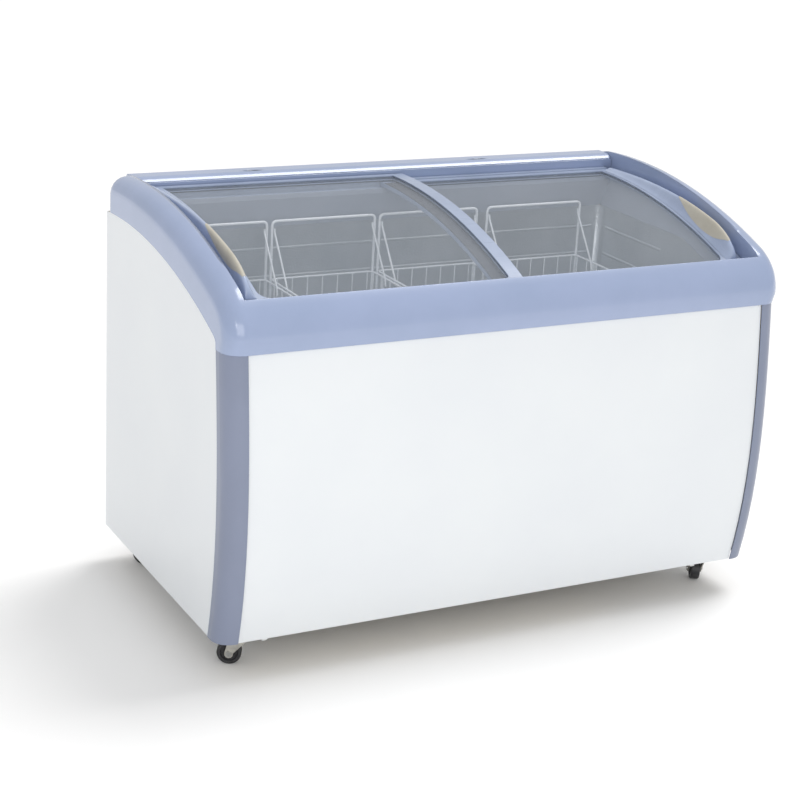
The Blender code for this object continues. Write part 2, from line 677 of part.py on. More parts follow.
def make_foam(material):
    """The insulation: a thick tub that fills the cabinet, open over the tank and at the machinery."""
    upper = [(min(y, FOAM_REAR_Y), z) for y, z in arm_lower_edge(0.0015)]
    inner_front = TRIM_TOP_Y + TRIM_PROUD + SHEET + 0.002
    front = [(inner_front - bow(z), z) for z in bow_heights(SEAM_Z - 0.0015, FOAM_FLOOR_Z)]
    points = [(FOAM_REAR_Y, FOAM_FLOOR_Z)] + upper + front
    foam = outline("foam_insulation", points, -FOAM_X, FOAM_X, material=material)
    past = 0.3
    cavity = outline("cavity_cutter", tank_section(COIL_SPACE, HEIGHT + past), LINER_FRONT_Y - COIL_SPACE,
                     LINER_REAR_Y + COIL_SPACE, "Y")
    machine = box("machine_cutter", (MACHINE_X, MACHINE_FRONT_Y, 0.0), (HALF_WIDTH, REAR_Y + past, MACHINE_TOP_Z))
    drain = cylinder("drain_cutter", DRAIN_RADIUS + COIL_SPACE, (DRAIN_X, DRAIN_Y, FOAM_FLOOR_Z), 2.5 * FLOOR_FOAM)
    cut(foam, cavity, machine, drain)
    behind_trim = [(TRIM_BACK_TOP_Y - bow(z) + GAP, z) for z in bow_heights(SEAM_Z, FLOOR_GAP)]
    ahead = FRONT_Y - past
    for side in (-1, 1):
        reach = sorted((side * (HALF_WIDTH - TRIM_FRONT - 4 * GAP), side * HALF_WIDTH))
        cut(foam, outline("corner_cutter", [(ahead, SEAM_Z)] + behind_trim + [(ahead, FLOOR_GAP)], *reach))
    return foam


def make_liner(material):
    """The embossed metal tank, with its edge sloping down behind the front rim."""
    liner = outline("inner_liner", tank_section(0.0, LINER_TOP_Z), LINER_FRONT_Y, LINER_REAR_Y, "Y", material)
    bm = bmesh.new()
    bm.from_mesh(liner.data)
    lid = [face for face in bm.faces if face.normal.z > 0.9 and face.calc_center_median().z > LINER_TOP_Z - 1e-4]
    bmesh.ops.delete(bm, geom=lid, context="FACES")
    corners = [edge for edge in bm.edges
               if abs(edge.verts[0].co.x - edge.verts[1].co.x) < 1e-6
               and abs(edge.verts[0].co.y - edge.verts[1].co.y) < 1e-6
               and abs(edge.verts[0].co.x) > LINER_X - 1e-4]
    bmesh.ops.bevel(bm, geom=corners, offset=TANK_CORNER, segments=3, profile=0.5, affect="EDGES", clamp_overlap=True)
    bm.to_mesh(liner.data)
    bm.free()
    wall = liner.modifiers.new("sheet", "SOLIDIFY")
    wall.thickness = LINER
    wall.offset = -1.0
    wall.use_even_offset = True
    past = 0.2
    slope = [(LINER_SLOPE_Y, LINER_TOP_Z + 0.0001), (LINER_FRONT_Y, LINER_FRONT_TOP_Z),
             (LINER_FRONT_Y - past, LINER_FRONT_TOP_Z), (LINER_FRONT_Y - past, HEIGHT + past),
             (LINER_SLOPE_Y, HEIGHT + past)]
    cut(liner, outline("slope_cutter", slope, -HALF_WIDTH, HALF_WIDTH),
        cylinder("drain_cutter", DRAIN_RADIUS, (DRAIN_X, DRAIN_Y, LINER_FLOOR_Z), 0.02))
    return liner


def make_collar(material):
    """The smooth throat between the liner's edge and the lid tracks."""
    side = THROAT_X - GAP
    front = OPENING_FRONT_Y + 0.0015
    rear = OPENING_REAR_Y - GAP
    track = TRACK_WIDTH + GAP
    low_front = LINER_FRONT_TOP_Z + GAP
    under_front = track_bottom(front_track_steps()) - GAP
    under_rear = track_bottom(rear_track_steps()) - GAP
    radius = GLASS_RADIUS - LID_THICKNESS - TRACK_CLEARANCE
    y_front = OPENING_FRONT_Y + track
    y_rear = OPENING_REAR_Y - track
    points = [(front, low_front), (front, under_front), (y_front, under_front)]
    points += arc(radius, y_front, y_rear)
    points += [(y_rear, under_rear), (rear, under_rear), (rear, LINER_TOP_Z + GAP), (LINER_SLOPE_Y, LINER_TOP_Z + GAP)]
    collar = outline("throat_collar", points, -side, side, material=material)
    past = 0.1
    throat = [(y_front + 0.001, HEIGHT + past), (y_front + 0.001, under_front), (front + COLLAR, low_front - past),
              (rear - COLLAR, LINER_TOP_Z - past), (rear - COLLAR, LINER_TOP_Z + GAP), (y_rear - 0.001, under_rear),
              (y_rear - 0.001, HEIGHT + past)]
    inner = outline("throat_space_cutter", throat, -side + COLLAR, side - COLLAR)
    return cut(collar, inner)


# ---------------------------------------------------------------- lid tracks
def front_track_steps():
    """(y, top z) of the front track's two treads: upper lid's tread first, from the front."""
    upper = arc_z(UPPER_LID_RADIUS - LID_THICKNESS, UPPER_LID_FRONT) - TRACK_CLEARANCE
    lower = arc_z(LOWER_LID_RADIUS - LID_THICKNESS, LOWER_LID_FRONT) - TRACK_CLEARANCE
    return [(OPENING_FRONT_Y + GAP, upper), (LOWER_LID_FRONT - RUNNING_GAP, lower), (OPENING_FRONT_Y + TRACK_WIDTH, lower)]


def rear_track_steps():
    """(y, top z) of the rear track's two treads: upper lid's tread first, from the rear."""
    upper = arc_z(UPPER_LID_RADIUS - LID_THICKNESS, UPPER_LID_REAR) - TRACK_CLEARANCE
    lower = arc_z(LOWER_LID_RADIUS - LID_THICKNESS, LOWER_LID_REAR) - TRACK_CLEARANCE
    return [(OPENING_REAR_Y - GAP, upper), (LOWER_LID_REAR + RUNNING_GAP, lower), (OPENING_REAR_Y - TRACK_WIDTH, lower)]


def track_bottom(steps):
    """Underside of a track."""
    return min(z for _, z in steps) - TRACK_FOOT


def make_track(name, steps, material):
    """A stepped rail with one tread for each lid."""
    (y0, upper), (y1, lower), (y2, _) = steps
    bottom = track_bottom(steps)
    points = [(y0, bottom), (y0, upper), (y1, upper), (y1, lower), (y2, lower), (y2, bottom)]
    return outline(name, points, -THROAT_X + GAP, THROAT_X - GAP, material=material)


# ---------------------------------------------------------------- lids
def lid_slab(name, radius, thickness, y_range, x_range, material=None):
    """A curved slab that follows the roof arc."""
    points = arc(radius, *y_range) + arc(radius - thickness, *y_range)[::-1]
    return outline(name, points, *x_range, material=material)


def fin_height(y, front, rear):
    """Height of the fin above the lid at depth y."""
    crown = front + FIN_CROWN_FROM_FRONT
    if y < crown:
        s = (y - front) / (crown - front)
        return FIN_REAR + (FIN_CROWN - FIN_REAR) * math.sqrt(max(0.0, 1 - (1 - s) ** 2.6))
    s = (y - crown) / (rear - crown)
    ease = (1 - s) ** 2
    return FIN_REAR + (FIN_MIDDLE - FIN_REAR) * (1 - s) + (FIN_CROWN - FIN_MIDDLE) * ease * (1 + s)


def make_lid(label, side, radius, y_range, materials):
    """One sliding lid: frame, curved glass, fin handle and grip."""
    front, rear = y_range
    outer_x = OPENING_X - LID_SIDE_GAP
    inner_x = -LID_OVERLAP / 2
    span = sorted((side * outer_x, side * inner_x))
    window_x = sorted((side * (outer_x - OUTER_STILE), side * (inner_x + INNER_STILE)))
    window_y = (front + FRONT_RAIL, rear - REAR_RAIL)
    frame = lid_slab("lid_frame_" + label, radius, LID_THICKNESS, y_range, span, materials["frame"])
    pane_top = radius - (LID_THICKNESS - GLASS) / 2
    glass_x = (window_x[0] - GLASS_GROOVE, window_x[1] + GLASS_GROOVE)
    glass_y = (window_y[0] - GLASS_GROOVE, window_y[1] + GLASS_GROOVE)
    groove = lid_slab("groove_cutter", pane_top + GAP, GLASS + 2 * GAP, (glass_y[0] - GAP, glass_y[1] + GAP),
                      (glass_x[0] - GAP, glass_x[1] + GAP))
    window = box("window_cutter", (window_x[0], window_y[0], 0.0), (window_x[1], window_y[1], 2 * HEIGHT))
    cut(frame, window, groove)
    lid_slab("lid_glass_" + label, pane_top, GLASS, glass_y, glass_x, materials["glass"])

    fin_y = (front + FIN_END_INSET, rear - FIN_END_INSET)
    fin_x = sorted((side * (outer_x - FIN_SIDE_INSET), side * (outer_x - FIN_SIDE_INSET - FIN_WIDTH)))
    steps = 30
    spaced = [fin_y[0] + (fin_y[1] - fin_y[0]) * (i / steps) ** 1.5 for i in range(steps + 1)]
    crest = [(y, arc_z(radius, y) + fin_height(y, *fin_y)) for y in spaced]
    base = arc(radius + GAP, fin_y[1], fin_y[0])
    fin = outline("lid_handle_" + label, crest + base, *fin_x, material=materials["handle"])
    cut(fin, outline("grip_cutter", grip_outline(radius, fin_y, 0.0, 0.01),
                     fin_x[0] - 0.01, fin_x[1] + 0.01))
    outline("lid_grip_" + label, grip_outline(radius, fin_y, GAP, GRIP_PROUD),
            fin_x[0] - GRIP_PROUD, fin_x[1] + GRIP_PROUD, material=materials["grip"])


def grip_outline(radius, fin_y, inset, proud):
    """A crescent over the fin's crown: its upper side is the crest and its lower side is hollow."""
    start = fin_y[0] + GRIP_START + inset
    end = fin_y[0] + GRIP_START + GRIP_LENGTH - inset
    steps = 12
    ys = [start + (end - start) * i / steps for i in range(steps + 1)]
    crest = [(y, arc_z(radius, y) + fin_height(y, *fin_y) + proud) for y in ys]
    hollow = []
    for i, y in enumerate(ys[1:-1], 1):
        depth = GRIP_DEPTH * math.sin(math.pi * (i / steps) ** 0.85)
        hollow.append((y, arc_z(radius, y) + fin_height(y, *fin_y) - depth + inset))
    ends = [(y, arc_z(radius, y) + fin_height(y, *fin_y) - 0.0008 + inset) for y in (ys[-1], ys[0])]
    return crest + [ends[0]] + hollow[::-1] + [ends[1]]


# ---------------------------------------------------------------- baskets
def basket_places():
    """Left edge, right edge and floor of each basket across the tank."""
    start = BASKET_END_GAP - TANK_SIDE_X
    span = STEP_X - BASKET_STEP_GAP - start
    width = (span - (FLOOR_BASKETS - 1) * BASKET_GAP) / FLOOR_BASKETS
    standing = LINER + BASKET_FLOOR_GAP
    places = []
    for i in range(FLOOR_BASKETS):
        left = start + i * (width + BASKET_GAP)
        places.append((left, left + width, LINER_FLOOR_Z + standing))
    places.append((STEP_X + STEP_BASKET_LEFT_GAP, TANK_SIDE_X - STEP_BASKET_RIGHT_GAP, STEP_Z + standing))
    return places


def make_basket(index, left, right, floor, material):
    """A wire basket with a raised handle loop at the rear and a slanted stay on each side."""
    front = LINER_FRONT_Y + LINER + BASKET_FRONT_GAP
    rear = LINER_REAR_Y - LINER - BASKET_REAR_GAP
    rim = LINER_FRONT_TOP_Z - BASKET_RIM_DROP
    top = LINER_TOP_Z + HANDLE_RISE
    low, high = (left, front, floor), (right, rear, rim)
    bm = bmesh.new()
    bmesh.ops.create_cube(bm, size=1.0)
    size = [b - a for a, b in zip(low, high)]
    centre = [(a + b) / 2 for a, b in zip(low, high)]
    bmesh.ops.transform(bm, verts=bm.verts, matrix=Matrix.Translation(centre) @ Matrix.Diagonal((*size, 1.0)))
    bmesh.ops.delete(bm, geom=[face for face in bm.faces if face.normal.z > 0.9], context="FACES")
    for axis in range(3):
        reach = size[axis] - (HANDLE_STAY_REACH if axis == 1 else 0.0)
        cells = max(1, round(reach / BASKET_CELL))
        cuts = [reach * i / cells for i in range(1, cells + (axis == 1))]
        for distance in cuts:
            normal = Vector((0, 0, 0))
            normal[axis] = 1.0
            point = Vector(low)
            point[axis] = low[axis] + distance
            everything = bm.verts[:] + bm.edges[:] + bm.faces[:]
            bmesh.ops.bisect_plane(bm, geom=everything, plane_co=point, plane_no=normal)
    rim_verts = [vert for vert in bm.verts if abs(vert.co.z - rim) < 1e-6]
    rear_rim = sorted((v for v in rim_verts if abs(v.co.y - rear) < 1e-6), key=lambda v: v.co.x)
    stay_z = top - HANDLE_STAY_DROP
    uprights = {}
    for x in (left, right):
        uprights[x] = (bm.verts.new((x, rear, stay_z)), bm.verts.new((x, rear, top)))
    loop = rear_rim + [uprights[right][0], uprights[right][1], uprights[left][1], uprights[left][0]]
    bm.faces.new(loop)
    for x in (left, right):
        side_rim = sorted((v for v in rim_verts if abs(v.co.x - x) < 1e-6), key=lambda v: -v.co.y)
        bm.faces.new([uprights[x][0]] + side_rim[:2])
    bmesh.ops.recalc_face_normals(bm, faces=bm.faces)
    mesh = bpy.data.meshes.new("basket_%d" % index)
    bm.to_mesh(mesh)
    bm.free()
    obj = add_object("basket_%d" % index, mesh, material)
    wires = obj.modifiers.new("wires", "WIREFRAME")
    wires.thickness = BASKET_WIRE
    wires.use_boundary = True
    wires.use_replace = True
    wires.use_even_offset = False
    return obj


# ---------------------------------------------------------------- casters
def caster_axis(side, end):
    """Where a caster's swivel axis stands."""
    x = side * (HALF_WIDTH - CASTER_SIDE_INSET)
    y = FRONT_Y + CASTER_FRONT_INSET if end < 0 else REAR_Y - CASTER_REAR_INSET
    return x, y


RAIL_TOP_Z = PAN_Z - GAP
PLATE_TOP_Z = RAIL_TOP_Z - RAIL_HEIGHT - GAP
PLATE_LOW_Z = PLATE_TOP_Z - CASTER_PLATE_THICKNESS
CROWN_LOW_Z = 2 * WHEEL_RADIUS + WHEEL_HEADROOM
FORK_WIDTH = WHEEL_WIDTH + 2 * FORK_SHEET + 4 * RUNNING_GAP


def make_caster(label, side, end, angle, materials):
    """A swivel caster: top plate with king pin, fork, axle and wheel."""
    x, y = caster_axis(side, end)
    half = CASTER_PLATE / 2
    plate = box("caster_plate_" + label, (x - half, y - half, PLATE_LOW_Z), (x + half, y + half, PLATE_TOP_Z),
                materials["zinc"])
    head_low = CROWN_LOW_Z - 0.006
    pin = turned("pin_cutter", [(0, PLATE_TOP_Z - 0.0005), (KING_PIN_RADIUS, PLATE_TOP_Z - 0.0005),
                                (KING_PIN_RADIUS, head_low + 0.004), (1.6 * KING_PIN_RADIUS, head_low + 0.004),
                                (1.6 * KING_PIN_RADIUS, head_low), (0, head_low)], (x, y, 0), steps=16)
    join(plate, pin)

    pivot = bpy.data.objects.new("swivel_" + label, None)
    MODEL.objects.link(pivot)
    pivot.location = (x, y, 0)
    pivot.rotation_euler = (0, 0, math.radians(angle))
    bpy.context.view_layer.update()

    # The pivot's +X points to the trailing wheel; the fork is drawn from the side and slotted.
    crown = 0.018
    crown_top = CROWN_LOW_Z + FORK_TOP
    boss = 0.009
    lug = [(-crown, CROWN_LOW_Z), (-crown, crown_top), (crown, crown_top), (crown + 0.004, CROWN_LOW_Z)]
    lug += [(CASTER_TRAIL + boss * math.cos(a), WHEEL_RADIUS + boss * math.sin(a))
            for a in [math.radians(20 - 35 * i) for i in range(7)]]
    fork = outline("caster_fork_" + label, lug, -FORK_WIDTH / 2, FORK_WIDTH / 2, "Y", materials["zinc"])
    slot_half = FORK_WIDTH / 2 - FORK_SHEET
    slot = box("fork_cutter", (-0.1, -slot_half, -0.01), (0.1, slot_half, CROWN_LOW_Z))
    hole = cylinder("axle_cutter", AXLE_RADIUS + GAP, (CASTER_TRAIL, 0, WHEEL_RADIUS), 0.1, "Y", 16)
    pin_hole = cylinder("pin_hole_cutter", KING_PIN_RADIUS + GAP, (0, 0, CROWN_LOW_Z), 0.03, "Z", 16)
    for item in (fork, slot, hole, pin_hole):
        item.parent = pivot
    cut(fork, slot, hole, pin_hole)

    centre = (CASTER_TRAIL, 0, WHEEL_RADIUS)
    half_axle = FORK_WIDTH / 2 + 0.003
    head = AXLE_RADIUS + 0.0025
    turned("caster_axle_" + label,
           [(0, half_axle), (head, half_axle), (head, FORK_WIDTH / 2 + GAP), (AXLE_RADIUS, FORK_WIDTH / 2 + GAP),
            (AXLE_RADIUS, -half_axle), (0, -half_axle)], centre, "Y", 16, materials["steel"], pivot)
    half_width = WHEEL_WIDTH / 2
    bore = AXLE_RADIUS + GAP
    wheel = cylinder("caster_wheel_" + label, WHEEL_RADIUS, centre, WHEEL_WIDTH, "Y", 28, materials["wheel"], pivot)
    dish = WHEEL_RADIUS - 0.008
    cut(wheel,
        cylinder("bore_cutter", bore, centre, 0.1, "Y", 16, parent=pivot),
        turned("dish_cutter", [(0, 0.003), (dish, 0.003), (dish - 0.002, 0.0), (bore + 0.003, 0.0), (0, 0.0)],
               (CASTER_TRAIL, half_width - 0.002, WHEEL_RADIUS), "Y", 20, parent=pivot))


def make_caster_rail(label, side, material):
    """A channel under the cabinet that carries a front and a rear caster, with a corner gusset."""
    x, front = caster_axis(side, -1)
    rear = caster_axis(side, 1)[1]
    half = RAIL_WIDTH / 2
    low = RAIL_TOP_Z - RAIL_HEIGHT
    wall = RAIL_SHEET
    section = [(x - half, low), (x + half, low), (x + half, RAIL_TOP_Z), (x + half - wall, RAIL_TOP_Z),
               (x + half - wall, low + wall), (x - half + wall, low + wall), (x - half + wall, RAIL_TOP_Z),
               (x - half, RAIL_TOP_Z)]
    rail = outline("caster_rail_" + label, section, front - half, rear + half, "Y", material)
    inner = x - side * (half - 0.001)
    gusset = [(inner, RAIL_TOP_Z), (inner - side * 0.030, RAIL_TOP_Z), (inner - side * 0.010, RAIL_TOP_Z - 0.022),
              (inner, RAIL_TOP_Z - 0.022)]
    join(rail, outline("gusset_cutter", gusset, front - half, front - half + wall, "Y"))
    return rail


# ---------------------------------------------------------------- refrigeration
def make_evaporator(material):
    """The evaporator tube, wound round the outside of the liner."""
    x = LINER_X + COIL_SPACE / 2
    front = LINER_FRONT_Y - COIL_SPACE / 2
    rear = LINER_REAR_Y + COIL_SPACE / 2
    corner = 0.020
    start = STEP_Z + COIL_END_GAP
    turns = int((LINER_FRONT_TOP_Z - COIL_END_GAP - start) / COIL_PITCH)
    centres = [(x - corner, rear - corner), (-x + corner, rear - corner), (-x + corner, front + corner),
               (x - corner, front + corner)]
    points = []
    for turn in range(turns):
        for quarter, (cx, cy) in enumerate(centres):
            for i in range(3):
                angle = math.pi / 2 * (quarter + i / 2)
                done = turn + (quarter + i / 2) / 4
                points.append((cx + corner * math.cos(angle), cy + corner * math.sin(angle),
                               start + COIL_PITCH * done))
    return tube("evaporator_coil", points, COIL_SPACE / 2 - 0.0006, material)


def make_condenser(material):
    """The condenser: a flat serpentine of tube that stands across the machine compartment."""
    x0 = MACHINE_X + 0.050
    y = MACHINE_FRONT_Y + 0.040
    z0 = MACHINE_FLOOR_Z + 0.024
    points = []
    bend = CONDENSER_PITCH / 2
    for row in range(CONDENSER_ROWS):
        z = z0 + row * CONDENSER_PITCH
        ends = (x0, x0 + CONDENSER_LENGTH) if row % 2 == 0 else (x0 + CONDENSER_LENGTH, x0)
        points += [(ends[0], y, z), (ends[1], y, z)]
        if row < CONDENSER_ROWS - 1:
            away = bend if row % 2 == 0 else -bend
            points += [(ends[1] + away * 0.8, y, z + bend * 0.4), (ends[1] + away * 0.8, y, z + bend * 1.6)]
    return tube("condenser_coil", points, PIPE, material)


def compressor_centre():
    """Where the compressor stands in the machine compartment."""
    return MACHINE_X + MACHINE_WIDTH - 0.040 - COMPRESSOR_RADIUS, FOAM_REAR_Y - 0.130


def make_compressor(materials):
    """The hermetic compressor on its mounting plate, with its terminal box."""
    x, y = compressor_centre()
    plate_low = MACHINE_FLOOR_Z + GAP
    plate_top = plate_low + COMPRESSOR_FOOT
    reach = COMPRESSOR_RADIUS + 0.014
    box("compressor_mount", (x - reach, y - reach, plate_low), (x + reach, y + reach, plate_top), materials["zinc"])
    low = plate_top + GAP
    r, h = COMPRESSOR_RADIUS, COMPRESSOR_HEIGHT
    turned("compressor", [(0, h), (0.45 * r, 0.985 * h), (0.80 * r, 0.91 * h), (0.96 * r, 0.78 * h), (r, 0.52 * h),
                          (r + 0.004, 0.51 * h), (r + 0.004, 0.47 * h), (r, 0.46 * h), (0.97 * r, 0.16 * h),
                          (0.80 * r, 0.05 * h), (0.55 * r, 0), (0, 0)], (x, y, low), "Z", 24, materials["black"])
    box("terminal_box", (x - 0.030, y - r - 0.040, low + 0.050), (x + 0.030, y - r - 0.005, low + 0.110),
        materials["plastic"])


def make_drier(material):
    """The filter drier, a copper capsule beside the condenser."""
    r, half = DRIER_RADIUS, DRIER_LENGTH / 2
    x = MACHINE_X + 0.025
    return turned("filter_drier", [(0, half), (0.35 * r, half), (0.4 * r, 0.8 * half), (r, 0.65 * half),
                                   (r, -0.65 * half), (0.4 * r, -0.8 * half), (0.35 * r, -half), (0, -half)],
                  (x, MACHINE_FRONT_Y + 0.10, MACHINE_FLOOR_Z + 0.10), "Z", 16, material)


def fan_centre():
    """The fan's middle, behind the condenser."""
    return MACHINE_X + 0.050 + CONDENSER_LENGTH / 2, MACHINE_FRONT_Y + 0.095, MACHINE_FLOOR_Z + 0.100


def make_fan(materials):
    """The condenser fan: shroud, motor and blade wheel."""
    x, y, z = fan_centre()
    half = FAN_RADIUS + 0.012
    shroud = box("fan_shroud", (x - half, y - 0.010, MACHINE_FLOOR_Z + GAP), (x + half, y + 0.010, z + half),
                 materials["plastic"])
    cut(shroud, cylinder("shroud_cutter", FAN_RADIUS + 0.005, (x, y, z), 0.1, "Y", 32))
    for angle in (0, 120, 240):
        arm = Matrix.Translation((x, y + 0.006, z)) @ Matrix.Rotation(math.radians(angle), 4, "Y")
        strut = box("strut_cutter", (0.016, 0.0, -0.003), (FAN_RADIUS + 0.008, 0.004, 0.003))
        strut.matrix_world = arm
        join(shroud, strut)
    ring = cylinder("ring_cutter", 0.020, (x, y + 0.008, z), 0.004, "Y", 24)
    join(shroud, ring)
    turned("fan_motor", [(0, 0.045), (0.018, 0.045), (0.024, 0.040), (0.024, 0.0), (0, 0.0)],
           (x, y + 0.010 + GAP, z), "Y", 20, materials["black"])
    hub = turned("fan_blade", [(0, 0.006), (0.014, 0.006), (0.016, 0.004), (0.016, -0.010), (0, -0.010)],
                 (x, y - 0.002, z), "Y", 20, materials["plastic"])
    for i in range(FAN_BLADES):
        turn = Matrix.Translation((x, y - 0.004, z)) @ Matrix.Rotation(math.tau * i / FAN_BLADES, 4, "Y")
        blade = box("blade_cutter", (0.010, -0.0008, -0.016), (FAN_RADIUS, 0.0008, 0.016))
        blade.matrix_world = turn @ Matrix.Rotation(math.radians(22), 4, "X")
        join(hub, blade)


def make_controls(materials):
    """The recessed thermostat with its knob, and the cable gland, on the rear panel."""
    x, z = thermostat_centre()
    r, d, wall = THERMOSTAT_RADIUS, THERMOSTAT_DEPTH, 0.002
    # Profiles run from the outside (rear) inwards; +height points to the front.
    face = REAR_PANEL_Y + 0.001
    turned("thermostat_housing", [(0, -d + wall), (r - wall, -d + wall), (r - wall, 0.0), (r, 0.0), (r, -d), (0, -d)],
           (x, face, z), "Y", 28, materials["plastic"])
    knob = turned("thermostat_knob", [(0, -0.001), (KNOB_RADIUS - 0.002, -0.001), (KNOB_RADIUS, -0.003),
                                      (KNOB_RADIUS, -KNOB_DEPTH), (0, -KNOB_DEPTH)], (x, face, z), "Y", 24,
                  materials["knob"])
    depth = face - KNOB_DEPTH - 0.002
    join(knob, box("pointer_cutter", (x - 0.002, face - KNOB_DEPTH, z + 0.002), (x + 0.002, face, z + KNOB_RADIUS - 0.003)))
    stem = cylinder("stem_cutter", 0.003, (x, depth, z), 0.006, "Y", 12)
    join(knob, stem)
    gland_x, gland_z = gland_centre()
    g = GLAND_RADIUS
    turned("cable_gland", [(0.5 * g, -0.014), (0.5 * g, 0.003), (1.5 * g, 0.003), (1.5 * g, GAP), (g, GAP),
                           (g, -0.014), (0.5 * g, -0.014)], (gland_x, REAR_PANEL_Y, gland_z), "Y", 20,
           materials["plastic"])


def make_drain_stopper(material):
    """The rubber stopper in the tank's drain."""
    r = DRAIN_RADIUS - GAP
    return turned("drain_stopper", [(0, 0.012), (0.005, 0.012), (0.005, 0.004), (r + 0.006, 0.003), (r + 0.006, GAP),
                                    (r, GAP), (0.8 * r, -0.012), (0, -0.012)],
                  (DRAIN_X, DRAIN_Y, LINER_FLOOR_Z + LINER), "Z", 20, material)


# ---------------------------------------------------------------- assembly
def build():
    """Makes every piece of the freezer."""
    white = make_material("white_enamel", (0.86, 0.87, 0.87), 0.28)
    abs_blue = make_material("blue_grey_abs", (0.42, 0.48, 0.66), 0.18)
    frame_grey = make_material("light_grey_plastic", (0.55, 0.59, 0.68), 0.30)
    dark = make_material("dark_plastic", (0.03, 0.03, 0.035), 0.45)
    foam = make_material("polyurethane_foam", (0.80, 0.70, 0.45), 0.90)
    embossed = make_material("embossed_aluminium", (0.62, 0.64, 0.65), 0.42, 1.0)
    throat = make_material("grey_throat_plastic", (0.38, 0.40, 0.44), 0.40)
    glass = make_material("clear_glass", (0.80, 0.85, 0.86), 0.03, 0.0, 0.25)
    grip = make_material("beige_soft_grip", (0.68, 0.64, 0.55), 0.60)
    coated = make_material("white_coated_wire", (0.85, 0.86, 0.87), 0.35)
    zinc = make_material("zinc_plate", (0.62, 0.62, 0.60), 0.38, 1.0)
    steel = make_material("steel", (0.55, 0.55, 0.55), 0.30, 1.0)
    wheel = make_material("black_nylon", (0.025, 0.025, 0.028), 0.50)
    black = make_material("black_paint", (0.02, 0.02, 0.02), 0.35)
    copper = make_material("copper", (0.72, 0.36, 0.20), 0.30, 1.0)
    rubber = make_material("grey_rubber", (0.20, 0.20, 0.21), 0.75)

    make_top_frame(abs_blue)
    make_rear_rim(abs_blue, dark)
    for label, side in (("left", -1), ("right", 1)):
        make_side_panel(label, side, white)
        make_corner_trim(label, side, abs_blue)
        make_caster_rail(label, side, white)
    make_front_panel(white)
    make_rear_panel(white)
    make_base_pan(zinc)
    make_foam(foam)
    make_liner(embossed)
    make_collar(throat)
    make_track("front_track", front_track_steps(), frame_grey)
    make_track("rear_track", rear_track_steps(), frame_grey)
    lid_materials = {"frame": frame_grey, "glass": glass, "handle": abs_blue, "grip": grip}
    make_lid("left", -1, UPPER_LID_RADIUS, (UPPER_LID_FRONT, UPPER_LID_REAR), lid_materials)
    make_lid("right", 1, LOWER_LID_RADIUS, (LOWER_LID_FRONT, LOWER_LID_REAR), lid_materials)
    for index, place in enumerate(basket_places(), 1):
        make_basket(index, *place, coated)
    caster_materials = {"zinc": zinc, "steel": steel, "wheel": wheel}
    for label, (side, end, angle) in CASTERS.items():
        make_caster(label, side, end, angle, caster_materials)
    make_evaporator(copper)
    make_condenser(black)
    machine_materials = {"zinc": zinc, "black": black, "plastic": dark, "knob": frame_grey}
    make_compressor(machine_materials)
    make_drier(copper)
    make_fan(machine_materials)
    make_controls(machine_materials)
    make_drain_stopper(rubber)


for old in list(bpy.data.objects):
    bpy.data.objects.remove(old, do_unlink=True)
MODEL = new_collection("chest_freezer")
CUTTERS = new_collection("cutters")
build()
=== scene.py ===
"""The looks of a chest freezer: a bowed white cabinet, a blue-grey rim and two curved sliding glass lids.

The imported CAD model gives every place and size.  Each sub-assembly is a class that takes its box from
the frame, builds its pieces there and dresses them.  Metres, +Z up, -Y is the front.
"""
from __future__ import annotations

import json
import logging
import math
from dataclasses import dataclass, field
from enum import Enum
from typing import Iterable, Sequence

import bmesh
import bpy
from mathutils import Matrix, Vector

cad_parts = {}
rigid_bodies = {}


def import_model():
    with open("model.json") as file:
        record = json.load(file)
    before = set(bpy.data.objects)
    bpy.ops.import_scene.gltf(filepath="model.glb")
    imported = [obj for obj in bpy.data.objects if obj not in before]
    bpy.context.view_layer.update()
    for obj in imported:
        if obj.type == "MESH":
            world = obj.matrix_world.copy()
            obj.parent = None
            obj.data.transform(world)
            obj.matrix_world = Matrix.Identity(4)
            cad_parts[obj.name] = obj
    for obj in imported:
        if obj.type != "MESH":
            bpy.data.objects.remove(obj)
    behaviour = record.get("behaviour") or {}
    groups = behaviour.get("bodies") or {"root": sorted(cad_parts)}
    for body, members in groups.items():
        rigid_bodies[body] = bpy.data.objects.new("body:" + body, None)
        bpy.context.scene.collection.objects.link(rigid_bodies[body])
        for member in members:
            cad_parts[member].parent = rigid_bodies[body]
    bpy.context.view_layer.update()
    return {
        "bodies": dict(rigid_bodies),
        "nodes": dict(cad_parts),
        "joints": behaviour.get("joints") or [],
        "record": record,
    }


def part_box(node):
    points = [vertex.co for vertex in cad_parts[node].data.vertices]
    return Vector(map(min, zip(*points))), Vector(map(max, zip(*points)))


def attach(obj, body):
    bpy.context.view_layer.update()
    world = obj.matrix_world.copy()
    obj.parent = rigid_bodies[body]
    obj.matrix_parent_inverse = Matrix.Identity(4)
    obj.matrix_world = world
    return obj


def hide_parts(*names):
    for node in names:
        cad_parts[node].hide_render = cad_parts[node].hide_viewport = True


LOG = logging.getLogger("chest_freezer")
MM = 0.001
CABINET = "cabinet"

Point = Sequence[float]


# ---------------------------------------------------------------- finishes
def linear(hex_colour: str) -> tuple[float, float, float, float]:
    """Turns an sRGB hex colour to the linear values that a shader takes.

    Args:
        hex_colour: six hex digits, with or without a leading hash.

    Returns:
        Linear red, green, blue and an alpha of one.
    """
    digits = hex_colour.lstrip("#")
    shares = [int(digits[i:i + 2], 16) / 255 for i in (0, 2, 4)]
    red, green, blue = (s / 12.92 if s <= 0.04045 else ((s + 0.055) / 1.055) ** 2.4 for s in shares)
    return red, green, blue, 1.0


